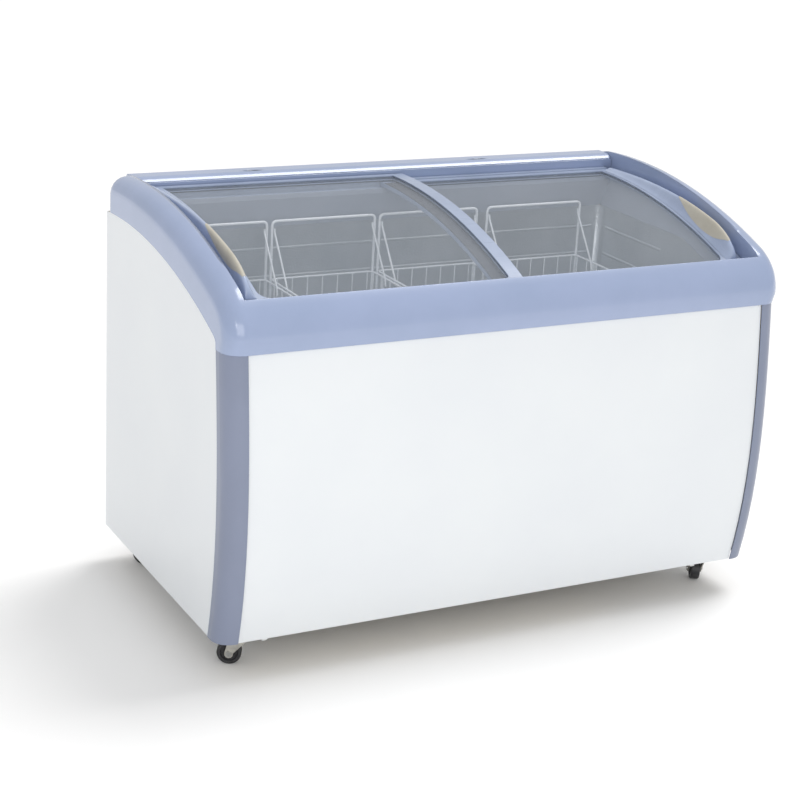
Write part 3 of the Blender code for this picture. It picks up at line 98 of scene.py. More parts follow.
class Grain(Enum):
    """How a surface was made, which sets the pattern of its relief."""

    ORANGE_PEEL = "soft ripple of sprayed enamel"
    MOULDED = "fine erosion texture of a mould"
    STUCCO = "pebbles rolled into sheet metal"
    EXTRUDED = "faint lines along an extrusion"
    SPANGLE = "crystals and rolling marks of zinc"
    DRAWN = "lines drawn round a tube"
    CELLS = "open cells of foam"


@dataclass(frozen=True)
class Finish:
    """One real finish, with its colours, gloss and relief at real sizes."""

    name: str
    slot: str
    colour: str
    shade: str                      # second colour, where the first is worn, thin or dirty
    roughness: tuple[float, float]
    grain: Grain
    grain_mm: float
    relief_mm: float
    mottle_mm: float = 120.0        # size of the patches between the two colours
    metallic: float = 0.0
    coat: float = 0.0
    ior: float = 1.5
    edge_mm: float = 0.0            # radius that every crisp edge is seen with

    def material(self) -> bpy.types.Material:
        """Makes the node material on Object coordinates."""
        made, tree, shader, place = start_material(self.name)
        shader.inputs["Metallic"].default_value = self.metallic
        shader.inputs["Coat Weight"].default_value = self.coat
        shader.inputs["Coat Roughness"].default_value = 0.08
        if not self.metallic:
            shader.inputs["IOR"].default_value = self.ior
        patches = add_node(tree, "ShaderNodeTexNoise",
                           {"Scale": 1 / (self.mottle_mm * MM), "Detail": 4.0, "Roughness": 0.55}, {"Vector": place})
        spread = add_node(tree, "ShaderNodeMapRange", {"From Min": 0.36, "From Max": 0.68},
                          {"Value": patches.outputs["Fac"]})
        mix = add_node(tree, "ShaderNodeMix", {"A": linear(self.colour), "B": linear(self.shade)},
                       {"Factor": spread.outputs["Result"]}, data_type="RGBA")
        tree.links.new(mix.outputs["Result"], shader.inputs["Base Color"])
        fine = self._relief(tree, place)
        smooth, rough = self.roughness
        gloss = add_node(tree, "ShaderNodeMapRange",
                         {"From Min": 0.2, "From Max": 0.8, "To Min": smooth, "To Max": rough}, {"Value": fine})
        tree.links.new(gloss.outputs["Result"], shader.inputs["Roughness"])
        bump = add_node(tree, "ShaderNodeBump", {"Strength": 1.0, "Distance": self.relief_mm * MM}, {"Height": fine})
        if self.edge_mm:
            edge = add_node(tree, "ShaderNodeBevel", {"Radius": self.edge_mm * MM}, samples=6)
            tree.links.new(edge.outputs["Normal"], bump.inputs["Normal"])
        tree.links.new(bump.outputs["Normal"], shader.inputs["Normal"])
        return made

    def _relief(self, tree: bpy.types.NodeTree, place: bpy.types.NodeSocket) -> bpy.types.NodeSocket:
        """Adds the nodes of the relief pattern.

        Args:
            tree: the material's nodes.
            place: the Object coordinates.

        Returns:
            The socket that gives the height, from 0 to 1.
        """
        scale = 1 / (self.grain_mm * MM)
        if self.grain is Grain.STUCCO:
            wander = add_node(tree, "ShaderNodeTexNoise", {"Scale": scale * 0.6, "Detail": 2.0}, {"Vector": place})
            bent = add_node(tree, "ShaderNodeMix", {"Factor": 0.0025}, {"A": place, "B": wander.outputs["Color"]},
                            data_type="VECTOR")
            pebbles = add_node(tree, "ShaderNodeTexVoronoi", {"Scale": scale}, {"Vector": bent.outputs["Result"]},
                               feature="SMOOTH_F1")
            return pebbles.outputs["Distance"]
        if self.grain in (Grain.EXTRUDED, Grain.DRAWN, Grain.SPANGLE):
            stretch = {Grain.EXTRUDED: (0.02, 1.0, 1.0), Grain.DRAWN: (1.0, 1.0, 0.15),
                       Grain.SPANGLE: (1.0, 0.35, 1.0)}[self.grain]
            turned = add_node(tree, "ShaderNodeMapping", {"Scale": stretch}, {"Vector": place})
            lines = add_node(tree, "ShaderNodeTexNoise", {"Scale": scale, "Detail": 3.0},
                             {"Vector": turned.outputs["Vector"]})
            return lines.outputs["Fac"]
        if self.grain is Grain.CELLS:
            cells = add_node(tree, "ShaderNodeTexVoronoi", {"Scale": scale}, {"Vector": place})
            return cells.outputs["Distance"]
        detail = {Grain.ORANGE_PEEL: 1.0, Grain.MOULDED: 5.0}[self.grain]
        ripple = add_node(tree, "ShaderNodeTexNoise", {"Scale": scale, "Detail": detail}, {"Vector": place})
        return ripple.outputs["Fac"]


def add_node(tree: bpy.types.NodeTree, kind: str, values: dict | None = None, links: dict | None = None,
             **settings: object) -> bpy.types.Node:
    """Adds one node with its settings, values and links.

    Args:
        tree: the nodes to add it to.
        kind: the node's type.
        values: input name to value.
        links: input name to the socket that feeds it.
        settings: the node's own properties, which are set first.

    Returns:
        The node.
    """
    node = tree.nodes.new(kind)
    for name, value in settings.items():
        setattr(node, name, value)
    usable = [socket for socket in node.inputs if socket.enabled]
    for name, value in (values or {}).items():
        next(socket for socket in usable if socket.name == name).default_value = value
    for name, source in (links or {}).items():
        tree.links.new(source, next(socket for socket in usable if socket.name == name))
    return node


def start_material(name: str) -> tuple[bpy.types.Material, bpy.types.NodeTree, bpy.types.Node, bpy.types.NodeSocket]:
    """Starts a material.

    Args:
        name: its name.

    Returns:
        The material, its nodes, its shader and the Object coordinates.
    """
    made = bpy.data.materials.new(name)
    made.use_nodes = True
    tree = made.node_tree
    return made, tree, tree.nodes["Principled BSDF"], add_node(tree, "ShaderNodeTexCoord").outputs["Object"]


# Polyester enamel baked on sheet steel: near white with a cold tint, and a soft ripple in its gloss.
ENAMEL = Finish("white_baked_enamel", "white_enamel", "#e6e9eb", "#e3e6e9", (0.30, 0.33), Grain.ORANGE_PEEL,
                14.0, 0.001, 300.0)
# ABS moulding: periwinkle blue-grey, glossy, with broad soft reflections at the rounded corners.
ABS_RIM = Finish("moulded_abs_periwinkle", "blue_grey_abs", "#9aa7c6", "#94a2c0", (0.16, 0.27), Grain.MOULDED,
                 2.2, 0.005, 180.0, coat=0.5, ior=1.54, edge_mm=1.6)
# The corner strips are the same plastic without the polished mould, so they look duller and greyer.
ABS_TRIM = Finish("moulded_abs_satin", "blue_grey_abs", "#81899f", "#7a8297", (0.26, 0.38), Grain.MOULDED,
                  1.8, 0.018, 200.0, coat=0.15, ior=1.54, edge_mm=1.0)
# Extruded PVC of the lid frames: paler than the rim, with lines along its length.
LID_PVC = Finish("extruded_pvc_grey_blue", "light_grey_plastic", "#a3afc6", "#98a4bc", (0.24, 0.36), Grain.EXTRUDED,
                 1.6, 0.015, 90.0, coat=0.2, ior=1.53, edge_mm=0.8)
# ABS of the fin handles, a little paler than the rim around them.
FIN_ABS = Finish("moulded_abs_pale_blue", "blue_grey_abs", "#abb8d2", "#a2afca", (0.20, 0.32), Grain.MOULDED,
                 1.6, 0.012, 60.0, coat=0.35, ior=1.54)
# Soft thermoplastic elastomer over the fins: warm beige, matt, with a leathery grain for the fingers.
GRIP_TPE = Finish("overmoulded_tpe_beige", "beige_soft_grip", "#c4bfb2", "#bcb6a8", (0.50, 0.66), Grain.MOULDED,
                  1.2, 0.09, 35.0, ior=1.48)
# Throat lining of satin polystyrene.
THROAT = Finish("thermoformed_polystyrene_grey", "grey_throat_plastic", "#abb2c1", "#a1a9b9", (0.34, 0.48),
                Grain.MOULDED, 3.0, 0.03, 240.0, ior=1.59, edge_mm=0.8)
# Stucco embossed aluminium: pebbles of about 3 mm that break every reflection into soft sparkle.
STUCCO_ALUMINIUM = Finish("stucco_embossed_aluminium", "embossed_aluminium", "#dadde0", "#c6cbd0", (0.30, 0.46),
                          Grain.STUCCO, 4.0, 0.45, 160.0, metallic=1.0)
# Steel wire dipped in white polyethylene, which runs a little thicker in places.
COATED_WIRE = Finish("polyethylene_coated_wire", "white_coated_wire", "#f6f9fd", "#eef2f8", (0.20, 0.32),
                     Grain.ORANGE_PEEL, 5.0, 0.05, 40.0, coat=0.3)
# Bright zinc plate on pressed steel: grey metal with cloudy patches.
ZINC = Finish("bright_zinc_plate", "zinc_plate", "#c8c6bf", "#aeaca6", (0.24, 0.44), Grain.SPANGLE,
              3.0, 0.02, 18.0, metallic=1.0, edge_mm=0.6)
# Machined steel of axles and bolts, with fine turning lines.
STEEL = Finish("turned_steel", "steel", "#bcbcba", "#a2a2a0", (0.20, 0.36), Grain.DRAWN, 0.8, 0.01, 12.0,
               metallic=1.0)
# Cast nylon wheels: black, dull on the tread where the floor has scuffed them.
NYLON = Finish("cast_nylon_black", "black_nylon", "#232325", "#37363a", (0.38, 0.62), Grain.MOULDED, 1.5, 0.06, 9.0,
               ior=1.53, edge_mm=0.8)
# Air-drying black enamel on the compressor and condenser.
BLACK_ENAMEL = Finish("black_enamel", "black_paint", "#1c1c1e", "#2b2a2a", (0.24, 0.42), Grain.ORANGE_PEEL,
                      4.0, 0.03, 40.0, coat=0.2)
# Copper tube, drawn and a little tarnished.
COPPER = Finish("drawn_copper", "copper", "#c98661", "#a3684d", (0.22, 0.42), Grain.DRAWN, 1.2, 0.01, 14.0,
                metallic=1.0)
# Mineral-filled polypropylene of the dark fittings: fine matt texture.
DARK_PP = Finish("polypropylene_charcoal", "dark_plastic", "#2e3036", "#26282d", (0.42, 0.58), Grain.MOULDED,
                 1.2, 0.03, 30.0, ior=1.49, edge_mm=0.6)
# Poured polyurethane foam, matt and yellowed, with open cells where it is cut.
FOAM = Finish("polyurethane_foam_cut", "polyurethane_foam", "#e5d6ae", "#d3c08e", (0.82, 0.95), Grain.CELLS,
              2.5, 0.5, 70.0)
# Moulded nitrile rubber: grey and matt.
RUBBER = Finish("nitrile_rubber_grey", "grey_rubber", "#66676b", "#5a5b5f", (0.55, 0.72), Grain.MOULDED,
                1.0, 0.03, 20.0)
# Pile of the brush seals between the lids. The same dark colour also paints shade over the lower lid's inner stile.
SEAL_PILE_AND_SHADE = Finish("woven_pile_seal_and_shade", "dark_plastic", "#565861", "#474951", (0.70, 0.90), Grain.EXTRUDED,
                   0.8, 0.10, 10.0)


@dataclass(frozen=True)
class TemperedGlass:
    """Clear tempered glass, seen mostly by its reflections and a thin veil of light."""

    name: str = "tempered_glass_clear"
    slot: str = "clear_glass"
    tint: str = "#dfe6ee"
    veil: float = 0.13              # share of the view that the pane's surface holds back
    roughness: float = 0.03
    ior: float = 1.52

    def material(self) -> bpy.types.Material:
        """Makes the node material on Object coordinates."""
        made, tree, shader, place = start_material(self.name)
        shader.inputs["Roughness"].default_value = self.roughness
        shader.inputs["IOR"].default_value = self.ior
        shader.inputs["Alpha"].default_value = self.veil
        # Roller waves of the tempering furnace, 250 mm apart, and a thin film of haze.
        haze = add_node(tree, "ShaderNodeTexNoise", {"Scale": 4.0, "Detail": 2.0}, {"Vector": place})
        mix = add_node(tree, "ShaderNodeMix", {"A": linear(self.tint), "B": linear("#cdd6e0")},
                       {"Factor": haze.outputs["Fac"]}, data_type="RGBA")
        tree.links.new(mix.outputs["Result"], shader.inputs["Base Color"])
        bump = add_node(tree, "ShaderNodeBump", {"Strength": 0.4, "Distance": 0.05 * MM},
                        {"Height": haze.outputs["Fac"]})
        tree.links.new(bump.outputs["Normal"], shader.inputs["Normal"])
        return made


GLASS = TemperedGlass()


# ---------------------------------------------------------------- mesh shop
def put_in_scene(name: str, data: bpy.types.ID) -> bpy.types.Object:
    """Makes an object of a mesh, light or camera and links it to the scene."""
    made = bpy.data.objects.new(name, data)
    bpy.context.scene.collection.objects.link(made)
    return made


def make_piece(name: str, bm: bmesh.types.BMesh, finish: Finish | TemperedGlass, body: str,
               replaces: Iterable[str] = (), crease: float = 35.0) -> bpy.types.Object:
    """Turns a finished bmesh into a piece of the object that rides on a body.

    Args:
        name: the piece's name.
        bm: its mesh in the row frame, which is freed.
        finish: what it is made of.
        body: the CAD body that it moves with.
        replaces: the CAD nodes that it stands for.
        crease: edges sharper than this angle in degrees stay crisp.

    Returns:
        The piece.
    """
    mesh = bpy.data.meshes.new(name)
    bm.to_mesh(mesh)
    bm.free()
    mesh.shade_smooth()
    mesh.set_sharp_from_angle(angle=math.radians(crease))
    mesh.materials.append(bpy.data.materials.get(finish.name) or finish.material())
    piece = put_in_scene(name, mesh)
    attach(piece, body)
    if replaces:
        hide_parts(*replaces)
    LOG.info("%s on %s: %d faces", name, body, len(mesh.polygons))
    return piece


def merged_copy(node: str) -> bmesh.types.BMesh:
    """Copies a CAD node's loose triangles into one surface with whole flat faces.

    Args:
        node: the CAD node's name.

    Returns:
        The copy.
    """
    bm = bmesh.new()
    bm.from_mesh(bpy.data.objects[node].data)
    bmesh.ops.remove_doubles(bm, verts=bm.verts, dist=0.01 * MM)
    bmesh.ops.dissolve_limit(bm, angle_limit=math.radians(0.2), verts=bm.verts, edges=bm.edges)
    return bm


def dress_skin(node: str, finish: Finish | TemperedGlass, body: str = CABINET) -> None:
    """Makes a smooth, whole skin over a CAD node and shows it in the node's place.

    Args:
        node: the CAD node.
        finish: what it is made of.
        body: the CAD body that it moves with.
    """
    piece = make_piece(f"{node}_skin", merged_copy(node), finish, body, [node])
    piece.modifiers.new("even_shading", "WEIGHTED_NORMAL").keep_sharp = True


def add_box(bm: bmesh.types.BMesh, low: Point, high: Point, bevel: float = 0.0) -> None:
    """Adds a box between two corners, with rounded edges.

    Args:
        bm: the mesh to add it to.
        low: lowest corner.
        high: highest corner.
        bevel: radius of its edges.
    """
    size = [b - a for a, b in zip(low, high)]
    centre = [(a + b) / 2 for a, b in zip(low, high)]
    matrix = Matrix.Translation(centre) @ Matrix.Diagonal((*size, 1.0))
    made = bmesh.ops.create_cube(bm, size=1.0, matrix=matrix)["verts"]
    if bevel:
        edges = list({edge for vert in made for edge in vert.link_edges})
        bmesh.ops.bevel(bm, geom=edges, offset=bevel, segments=2, profile=0.5, affect="EDGES", material=-1)


def along(direction: Vector) -> Matrix:
    """The turn that takes +Z to a direction."""
    return direction.to_track_quat("Z", "Y").to_matrix().to_4x4()


class Ends(Enum):
    """What a loft has at its two ends."""

    CAPPED = "closed sections with both end faces filled"
    JOINED = "closed sections, the last joined to the first"
    OPEN = "open sections without end faces"


def loft(bm: bmesh.types.BMesh, sections: Sequence[Sequence[Point]], ends: Ends = Ends.CAPPED) -> None:
    """Extrudes a line of points from section to section.

    Args:
        bm: the mesh to add it to.
        sections: the line's points at each station, the same number at each.
        ends: whether the line is closed, and how the loft ends.
    """
    verts = [bm.verts.new(point) for point in sections[0]]
    first = edges = [bm.edges.new(pair) for pair in line_pairs(verts, ends)]
    if ends is Ends.CAPPED:
        bmesh.ops.contextual_create(bm, geom=edges)
    for section in sections[1:]:
        made = set(bmesh.ops.extrude_edge_only(bm, edges=edges)["geom"])
        verts = [next(e.other_vert(v) for e in v.link_edges if e.other_vert(v) in made) for v in verts]
        for vert, point in zip(verts, section):
            vert.co = point
        edges = [next(e for e in a.link_edges if e.other_vert(a) is b) for a, b in line_pairs(verts, ends)]
    if ends is Ends.CAPPED:
        bmesh.ops.contextual_create(bm, geom=edges)
    if ends is Ends.JOINED:
        bmesh.ops.bridge_loops(bm, edges=edges + first)


def line_pairs(verts: list[bmesh.types.BMVert], ends: Ends) -> list[tuple[bmesh.types.BMVert, ...]]:
    """The neighbours along a line of vertices, with its last and first where it is closed."""
    pairs = list(zip(verts, verts[1:]))
    return pairs if ends is Ends.OPEN else pairs + [(verts[-1], verts[0])]


def add_wire(bm: bmesh.types.BMesh, points: Sequence[Point], radius: float, sides: int = 8,
             closed: bool = False) -> None:
    """Sweeps a round wire along points, with a mitre at each.

    Args:
        bm: the mesh to add it to.
        points: where its middle runs.
        radius: the wire's radius.
        sides: sides of its section.
        closed: whether it is a ring.
    """
    path = [Vector(point) for point in points]
    count = len(path)
    rings = []
    up = None
    for i, here in enumerate(path):
        before = path[i - 1] if i or closed else None
        after = path[(i + 1) % count] if i < count - 1 or closed else None
        into = (here - before).normalized() if before is not None else (after - here).normalized()
        out = (after - here).normalized() if after is not None else into
        tangent = (into + out).normalized()
        if up is None:
            up = tangent.orthogonal().normalized()
        up = (up - tangent * up.dot(tangent)).normalized()
        side = tangent.cross(up)
        reach = 1 / max(0.5, into.dot(tangent))
        bend = out - into
        bend = bend.normalized() if bend.length > 1e-6 else up
        ring = []
        for k in range(sides):
            angle = math.tau * k / sides
            offset = (up * math.cos(angle) + side * math.sin(angle)) * radius
            offset += bend * offset.dot(bend) * (reach - 1)
            ring.append(here + offset)
        rings.append(ring)
    loft(bm, rings, Ends.JOINED if closed else Ends.CAPPED)


def rounded_path(corners: Sequence[Point], radius: float, steps: int = 3, closed: bool = False) -> list[Vector]:
    """Rounds the corners of a path with short arcs.

    Args:
        corners: the path's corners.
        radius: how far from each corner its arc starts.
        steps: pieces of each arc.
        closed: whether the path is a ring.

    Returns:
        The points of the rounded path.
    """
    path = [Vector(corner) for corner in corners]
    points = []
    for i, here in enumerate(path):
        if not closed and i in (0, len(path) - 1):
            points.append(here)
            continue
        before, after = path[i - 1], path[(i + 1) % len(path)]
        reach = min(radius, 0.45 * (here - before).length, 0.45 * (after - here).length)
        start = here + (before - here).normalized() * reach
        end = here + (after - here).normalized() * reach
        for k in range(steps + 1):
            s = k / steps
            points.append(start * (1 - s) ** 2 + here * 2 * s * (1 - s) + end * s * s)
    return points


def add_turned(bm: bmesh.types.BMesh, profile: Sequence[tuple[float, float]], centre: Point, axis: Point,
               steps: int = 32) -> None:
    """Turns a profile round an axis and closes its poles.

    Args:
        bm: the mesh to add it to.
        profile: radius and height pairs, from one end of the axis to the other.
        centre: the profile's origin.
        axis: the direction of its height.
        steps: sides of the round.
    """
    part = bmesh.new()
    verts = [part.verts.new((max(radius, 1e-6), 0.0, height)) for radius, height in profile]
    edges = [part.edges.new(pair) for pair in zip(verts, verts[1:])]
    bmesh.ops.spin(part, geom=verts + edges, cent=(0, 0, 0), axis=(0, 0, 1), angle=math.tau, steps=steps,
                   use_merge=True)
    bmesh.ops.remove_doubles(part, verts=part.verts, dist=0.004 * MM)
    bmesh.ops.recalc_face_normals(part, faces=part.faces)
    bmesh.ops.transform(part, verts=part.verts, matrix=Matrix.Translation(centre) @ along(Vector(axis)))
    add_mesh(bm, part)


def add_mesh(bm: bmesh.types.BMesh, part: bmesh.types.BMesh) -> None:
    """Adds a whole bmesh to another and frees it.

    Args:
        bm: the mesh that grows.
        part: the mesh that is added.
    """
    mesh = bpy.data.meshes.new("part")
    part.to_mesh(mesh)
    part.free()
    bm.from_mesh(mesh)
    bpy.data.meshes.remove(mesh)


def add_screw(bm: bmesh.types.BMesh, centre: Point, axis: Point, radius: float = 3.6 * MM,
              height: float = 1.8 * MM) -> None:
    """Adds a domed screw head with a round drive recess.

    Args:
        bm: the mesh to add it to.
        centre: middle of the head's seat.
        axis: the way the head faces.
        radius: the head's radius.
        height: the head's height.
    """
    add_turned(bm, [(0.0, height * 0.45), (radius * 0.30, height * 0.45), (radius * 0.36, height * 0.98),
                    (radius * 0.62, height * 0.86), (radius * 0.9, height * 0.5), (radius, 0.0), (0.0, 0.0)],
               centre, axis, 14)


def sweep_sections(bm: bmesh.types.BMesh, sections: Sequence[Sequence[Point]], ends: Ends = Ends.CAPPED) -> None:
    """Lofts sections and turns every face of the mesh outwards.

    Args:
        bm: the mesh to add it to.
        sections: the line's points at each station, the same number at each.
        ends: whether the line is closed, and how the loft ends.
    """
    loft(bm, sections, ends)
    bmesh.ops.recalc_face_normals(bm, faces=bm.faces)


# ---------------------------------------------------------------- roof line
@dataclass(frozen=True)
class RoofArc:
    """The arcs that the lids follow, found from the lid glass in the frame."""

    centre_y: float = 0.235
    lower_radius: float = 1.300     # upper face of the lower, right lid
    level_step: float = 0.0135      # upper lid above the lower lid
    lid_thickness: float = 10 * MM

    def centre_z(self) -> float:
        """Height of the arcs' centre, from the top of the right lid's frame at its apex."""
        low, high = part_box("lid_frame_right")
        apex_y = min(max(self.centre_y, low.y), high.y)
        return high.z - math.sqrt(self.lower_radius ** 2 - (apex_y - self.centre_y) ** 2)

    def height(self, y: float, upper: bool) -> float:
        """Top of a lid at depth y.

        Args:
            y: the depth.
            upper: whether it is the upper, left lid.

        Returns:
            The height in metres.
        """
        radius = self.lower_radius + (self.level_step if upper else 0.0)
        return self.centre_z() + math.sqrt(radius ** 2 - (y - self.centre_y) ** 2)


# ---------------------------------------------------------------- cabinet
@dataclass
class Cabinet:
    """Panels, trims, floor and back of the cabinet, with the fasteners that hold them."""

    screw_inset: float = 14 * MM
    screw_pitch: float = 0.205
    vent_rows: int = 8
    vent_pitch: float = 16 * MM
    vent_width: float = 0.130
    vent_inset: float = 20 * MM     # louvres from the foam's right face
    machine_height: float = 0.215
    hood_reach: float = 4 * MM
    hood_rise: float = 4.2 * MM     # from the slot's middle up to the hood's top
    hood_drop: float = 7.0 * MM
    hood_sheet: float = 0.9 * MM

    def build(self) -> None:
        """Makes and dresses every piece of the cabinet."""
        for side in ("left", "right"):
            dress_skin(f"side_panel_{side}", ENAMEL)
            dress_skin(f"corner_trim_{side}", ABS_TRIM)
            dress_skin(f"caster_rail_{side}", ENAMEL)
        dress_skin("front_panel", ENAMEL)
        dress_skin("rear_panel", ENAMEL)
        dress_skin("base_pan", ZINC)
        dress_skin("foam_insulation", FOAM)
        dress_skin("throat_collar", THROAT)
        dress_skin("cable_gland", DARK_PP)
        self._louvre_hoods()
        self._rear_screws()

    def _louvre_hoods(self) -> None:
        """Presses a hood over each vent slot, open downwards."""
        panel_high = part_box("rear_panel")[1]
        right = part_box("foam_insulation")[1].x - self.vent_inset
        left = right - self.vent_width
        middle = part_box("base_pan")[1].z + self.machine_height / 2
        bm = bmesh.new()
        steps = 6
        for row in range(self.vent_rows):
            z = middle + (row - (self.vent_rows - 1) / 2) * self.vent_pitch
            top = z + self.hood_rise
            sections = []
            for x in (left, right):
                curve = [(x, panel_high.y + self.hood_reach * math.sin(math.pi / 2 * k / steps),
                          top - self.hood_drop * (1 - math.cos(math.pi / 2 * k / steps))) for k in range(steps + 1)]
                inner = [(px, max(panel_high.y, py - self.hood_sheet), pz - self.hood_sheet)
                         for px, py, pz in curve[::-1]]
                sections.append(curve + inner)
            sweep_sections(bm, sections)
            for x in (left, right):
                add_box(bm, (x - 0.5 * MM, panel_high.y, top - 7.5 * MM),
                        (x + 0.5 * MM, panel_high.y + self.hood_reach * 0.9, top - 0.6 * MM))
        make_piece("vent_hoods", bm, ENAMEL, CABINET)

    def _rear_screws(self) -> None:
        """Sets screws round the rear panel."""
        low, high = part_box("rear_panel")
        bm = bmesh.new()
        left, right = low.x + self.screw_inset, high.x - self.screw_inset
        count = max(2, round((right - left) / self.screw_pitch))
        for i in range(count + 1):
            x = left + (right - left) * i / count
            for z in (low.z + self.screw_inset, high.z - self.screw_inset):
                add_screw(bm, (x, high.y, z), (0, 1, 0))
        tall = max(2, round((high.z - low.z) / self.screw_pitch))
        for i in range(1, tall):
            z = low.z + self.screw_inset + (high.z - low.z - 2 * self.screw_inset) * i / tall
            for x in (left, right):
                add_screw(bm, (x, high.y, z), (0, 1, 0))
        make_piece("rear_panel_screws", bm, ZINC, CABINET)


# ---------------------------------------------------------------- tank
@dataclass
class Tank:
    """The embossed aluminium tank, with pressed ribs round its walls."""

    rib_pitch: float = 0.064
    rib_height: float = 7 * MM
    rib_proud: float = 1.6 * MM
    rib_top_gap: float = 0.050
    corner_gap: float = 26 * MM
    wall: float = 1.5 * MM
    slope_band: float = 0.10        # below the rim, where the front wall slopes
    slope_reach: float = 0.30       # ribs in that band start this far behind the front wall

    def build(self) -> None:
        """Makes the liner and its ribs, and dresses what is in the tank."""
        dress_skin("inner_liner", STUCCO_ALUMINIUM)
        dress_skin("evaporator_coil", COPPER)
        self._ribs()
        dress_skin("drain_stopper", RUBBER, "stopper")

    def _ribs(self) -> None:
        """Runs half-round ribs along the rear, left and right walls."""
        low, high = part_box("inner_liner")
        wall = self.wall
        floor_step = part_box("basket_4")[0].z
        bm = bmesh.new()
        z = high.z - self.rib_top_gap
        while z > low.z + self.rib_pitch:
            right = high.x
            spans = [((low.x + self.corner_gap, high.y - wall, z), (right - self.corner_gap, high.y - wall, z))]
            if z < floor_step:
                spans = [((low.x + self.corner_gap, high.y - wall, z),
                          (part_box("basket_3")[1].x - self.corner_gap, high.y - wall, z))]
            front = low.y + (self.slope_reach if z > high.z - self.slope_band else self.corner_gap)
            spans.append(((low.x + wall, front, z), (low.x + wall, high.y - self.corner_gap, z)))
            if z > floor_step:
                spans.append(((right - wall, front, z), (right - wall, high.y - self.corner_gap, z)))
            for start, end in spans:
                self._rib(bm, Vector(start), Vector(end))
            z -= self.rib_pitch
        make_piece("liner_ribs", bm, STUCCO_ALUMINIUM, CABINET)

    def _rib(self, bm: bmesh.types.BMesh, start: Vector, end: Vector) -> None:
        """Adds one rib, a flattened round bar half sunk in the wall.

        Args:
            bm: the mesh to add it to.
            start: one end, on the wall.
            end: the other end.
        """
        length = (end - start).length
        squash = Matrix.Diagonal((self.rib_height / 2, self.rib_proud, 1.0, 1.0))
        if abs(end.x - start.x) > abs(end.y - start.y):
            turn = Matrix(((0, 0, 1, 0), (0, 1, 0, 0), (-1, 0, 0, 0), (0, 0, 0, 1)))
        else:
            turn = Matrix(((0, 1, 0, 0), (0, 0, 1, 0), (1, 0, 0, 0), (0, 0, 0, 1)))
        bmesh.ops.create_cone(bm, cap_ends=True, segments=16, radius1=1.0, radius2=1.0, depth=length,
                              matrix=Matrix.Translation((start + end) / 2) @ turn @ squash)


# ---------------------------------------------------------------- top frame
@dataclass
class TopFrame:
    """Rim, arms, rear bridge and lid tracks."""

    ledge_width: float = 21 * MM
    ledge_step: float = 8 * MM

    def build(self) -> None:
        """Dresses the mouldings and slopes the rear bridge towards the lids."""
        dress_skin("top_frame", ABS_RIM)
        dress_skin("rear_rim", ABS_RIM)
        dress_skin("front_track", LID_PVC)
        dress_skin("rear_track", LID_PVC)
        for side in ("left", "right"):
            dress_skin(f"rim_slot_{side}", DARK_PP)
        self._rear_slope()

    def _rear_slope(self) -> None:
        """Lays a sloped lip on the rear bridge's ledge, so that its top runs smoothly down to the lids."""
        low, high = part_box("rear_rim")
        front, top = low.y, high.z
        ledge, inset = top - self.ledge_step, 0.3 * MM
        rear = front + self.ledge_width + MM
        section = [(front + 2 * MM, ledge - inset), (rear, ledge - inset), (rear, top + 0.1 * MM),
                   (front + 0.7 * self.ledge_width, top - 0.8 * MM),
                   (front + 0.3 * self.ledge_width, top - 0.55 * self.ledge_step), (front + MM, ledge)]
        bm = bmesh.new()
        sweep_sections(bm, [[(x, y, z) for y, z in section] for x in (low.x + MM, high.x - MM)])
        make_piece("rear_rim_lip", bm, ABS_RIM, CABINET)


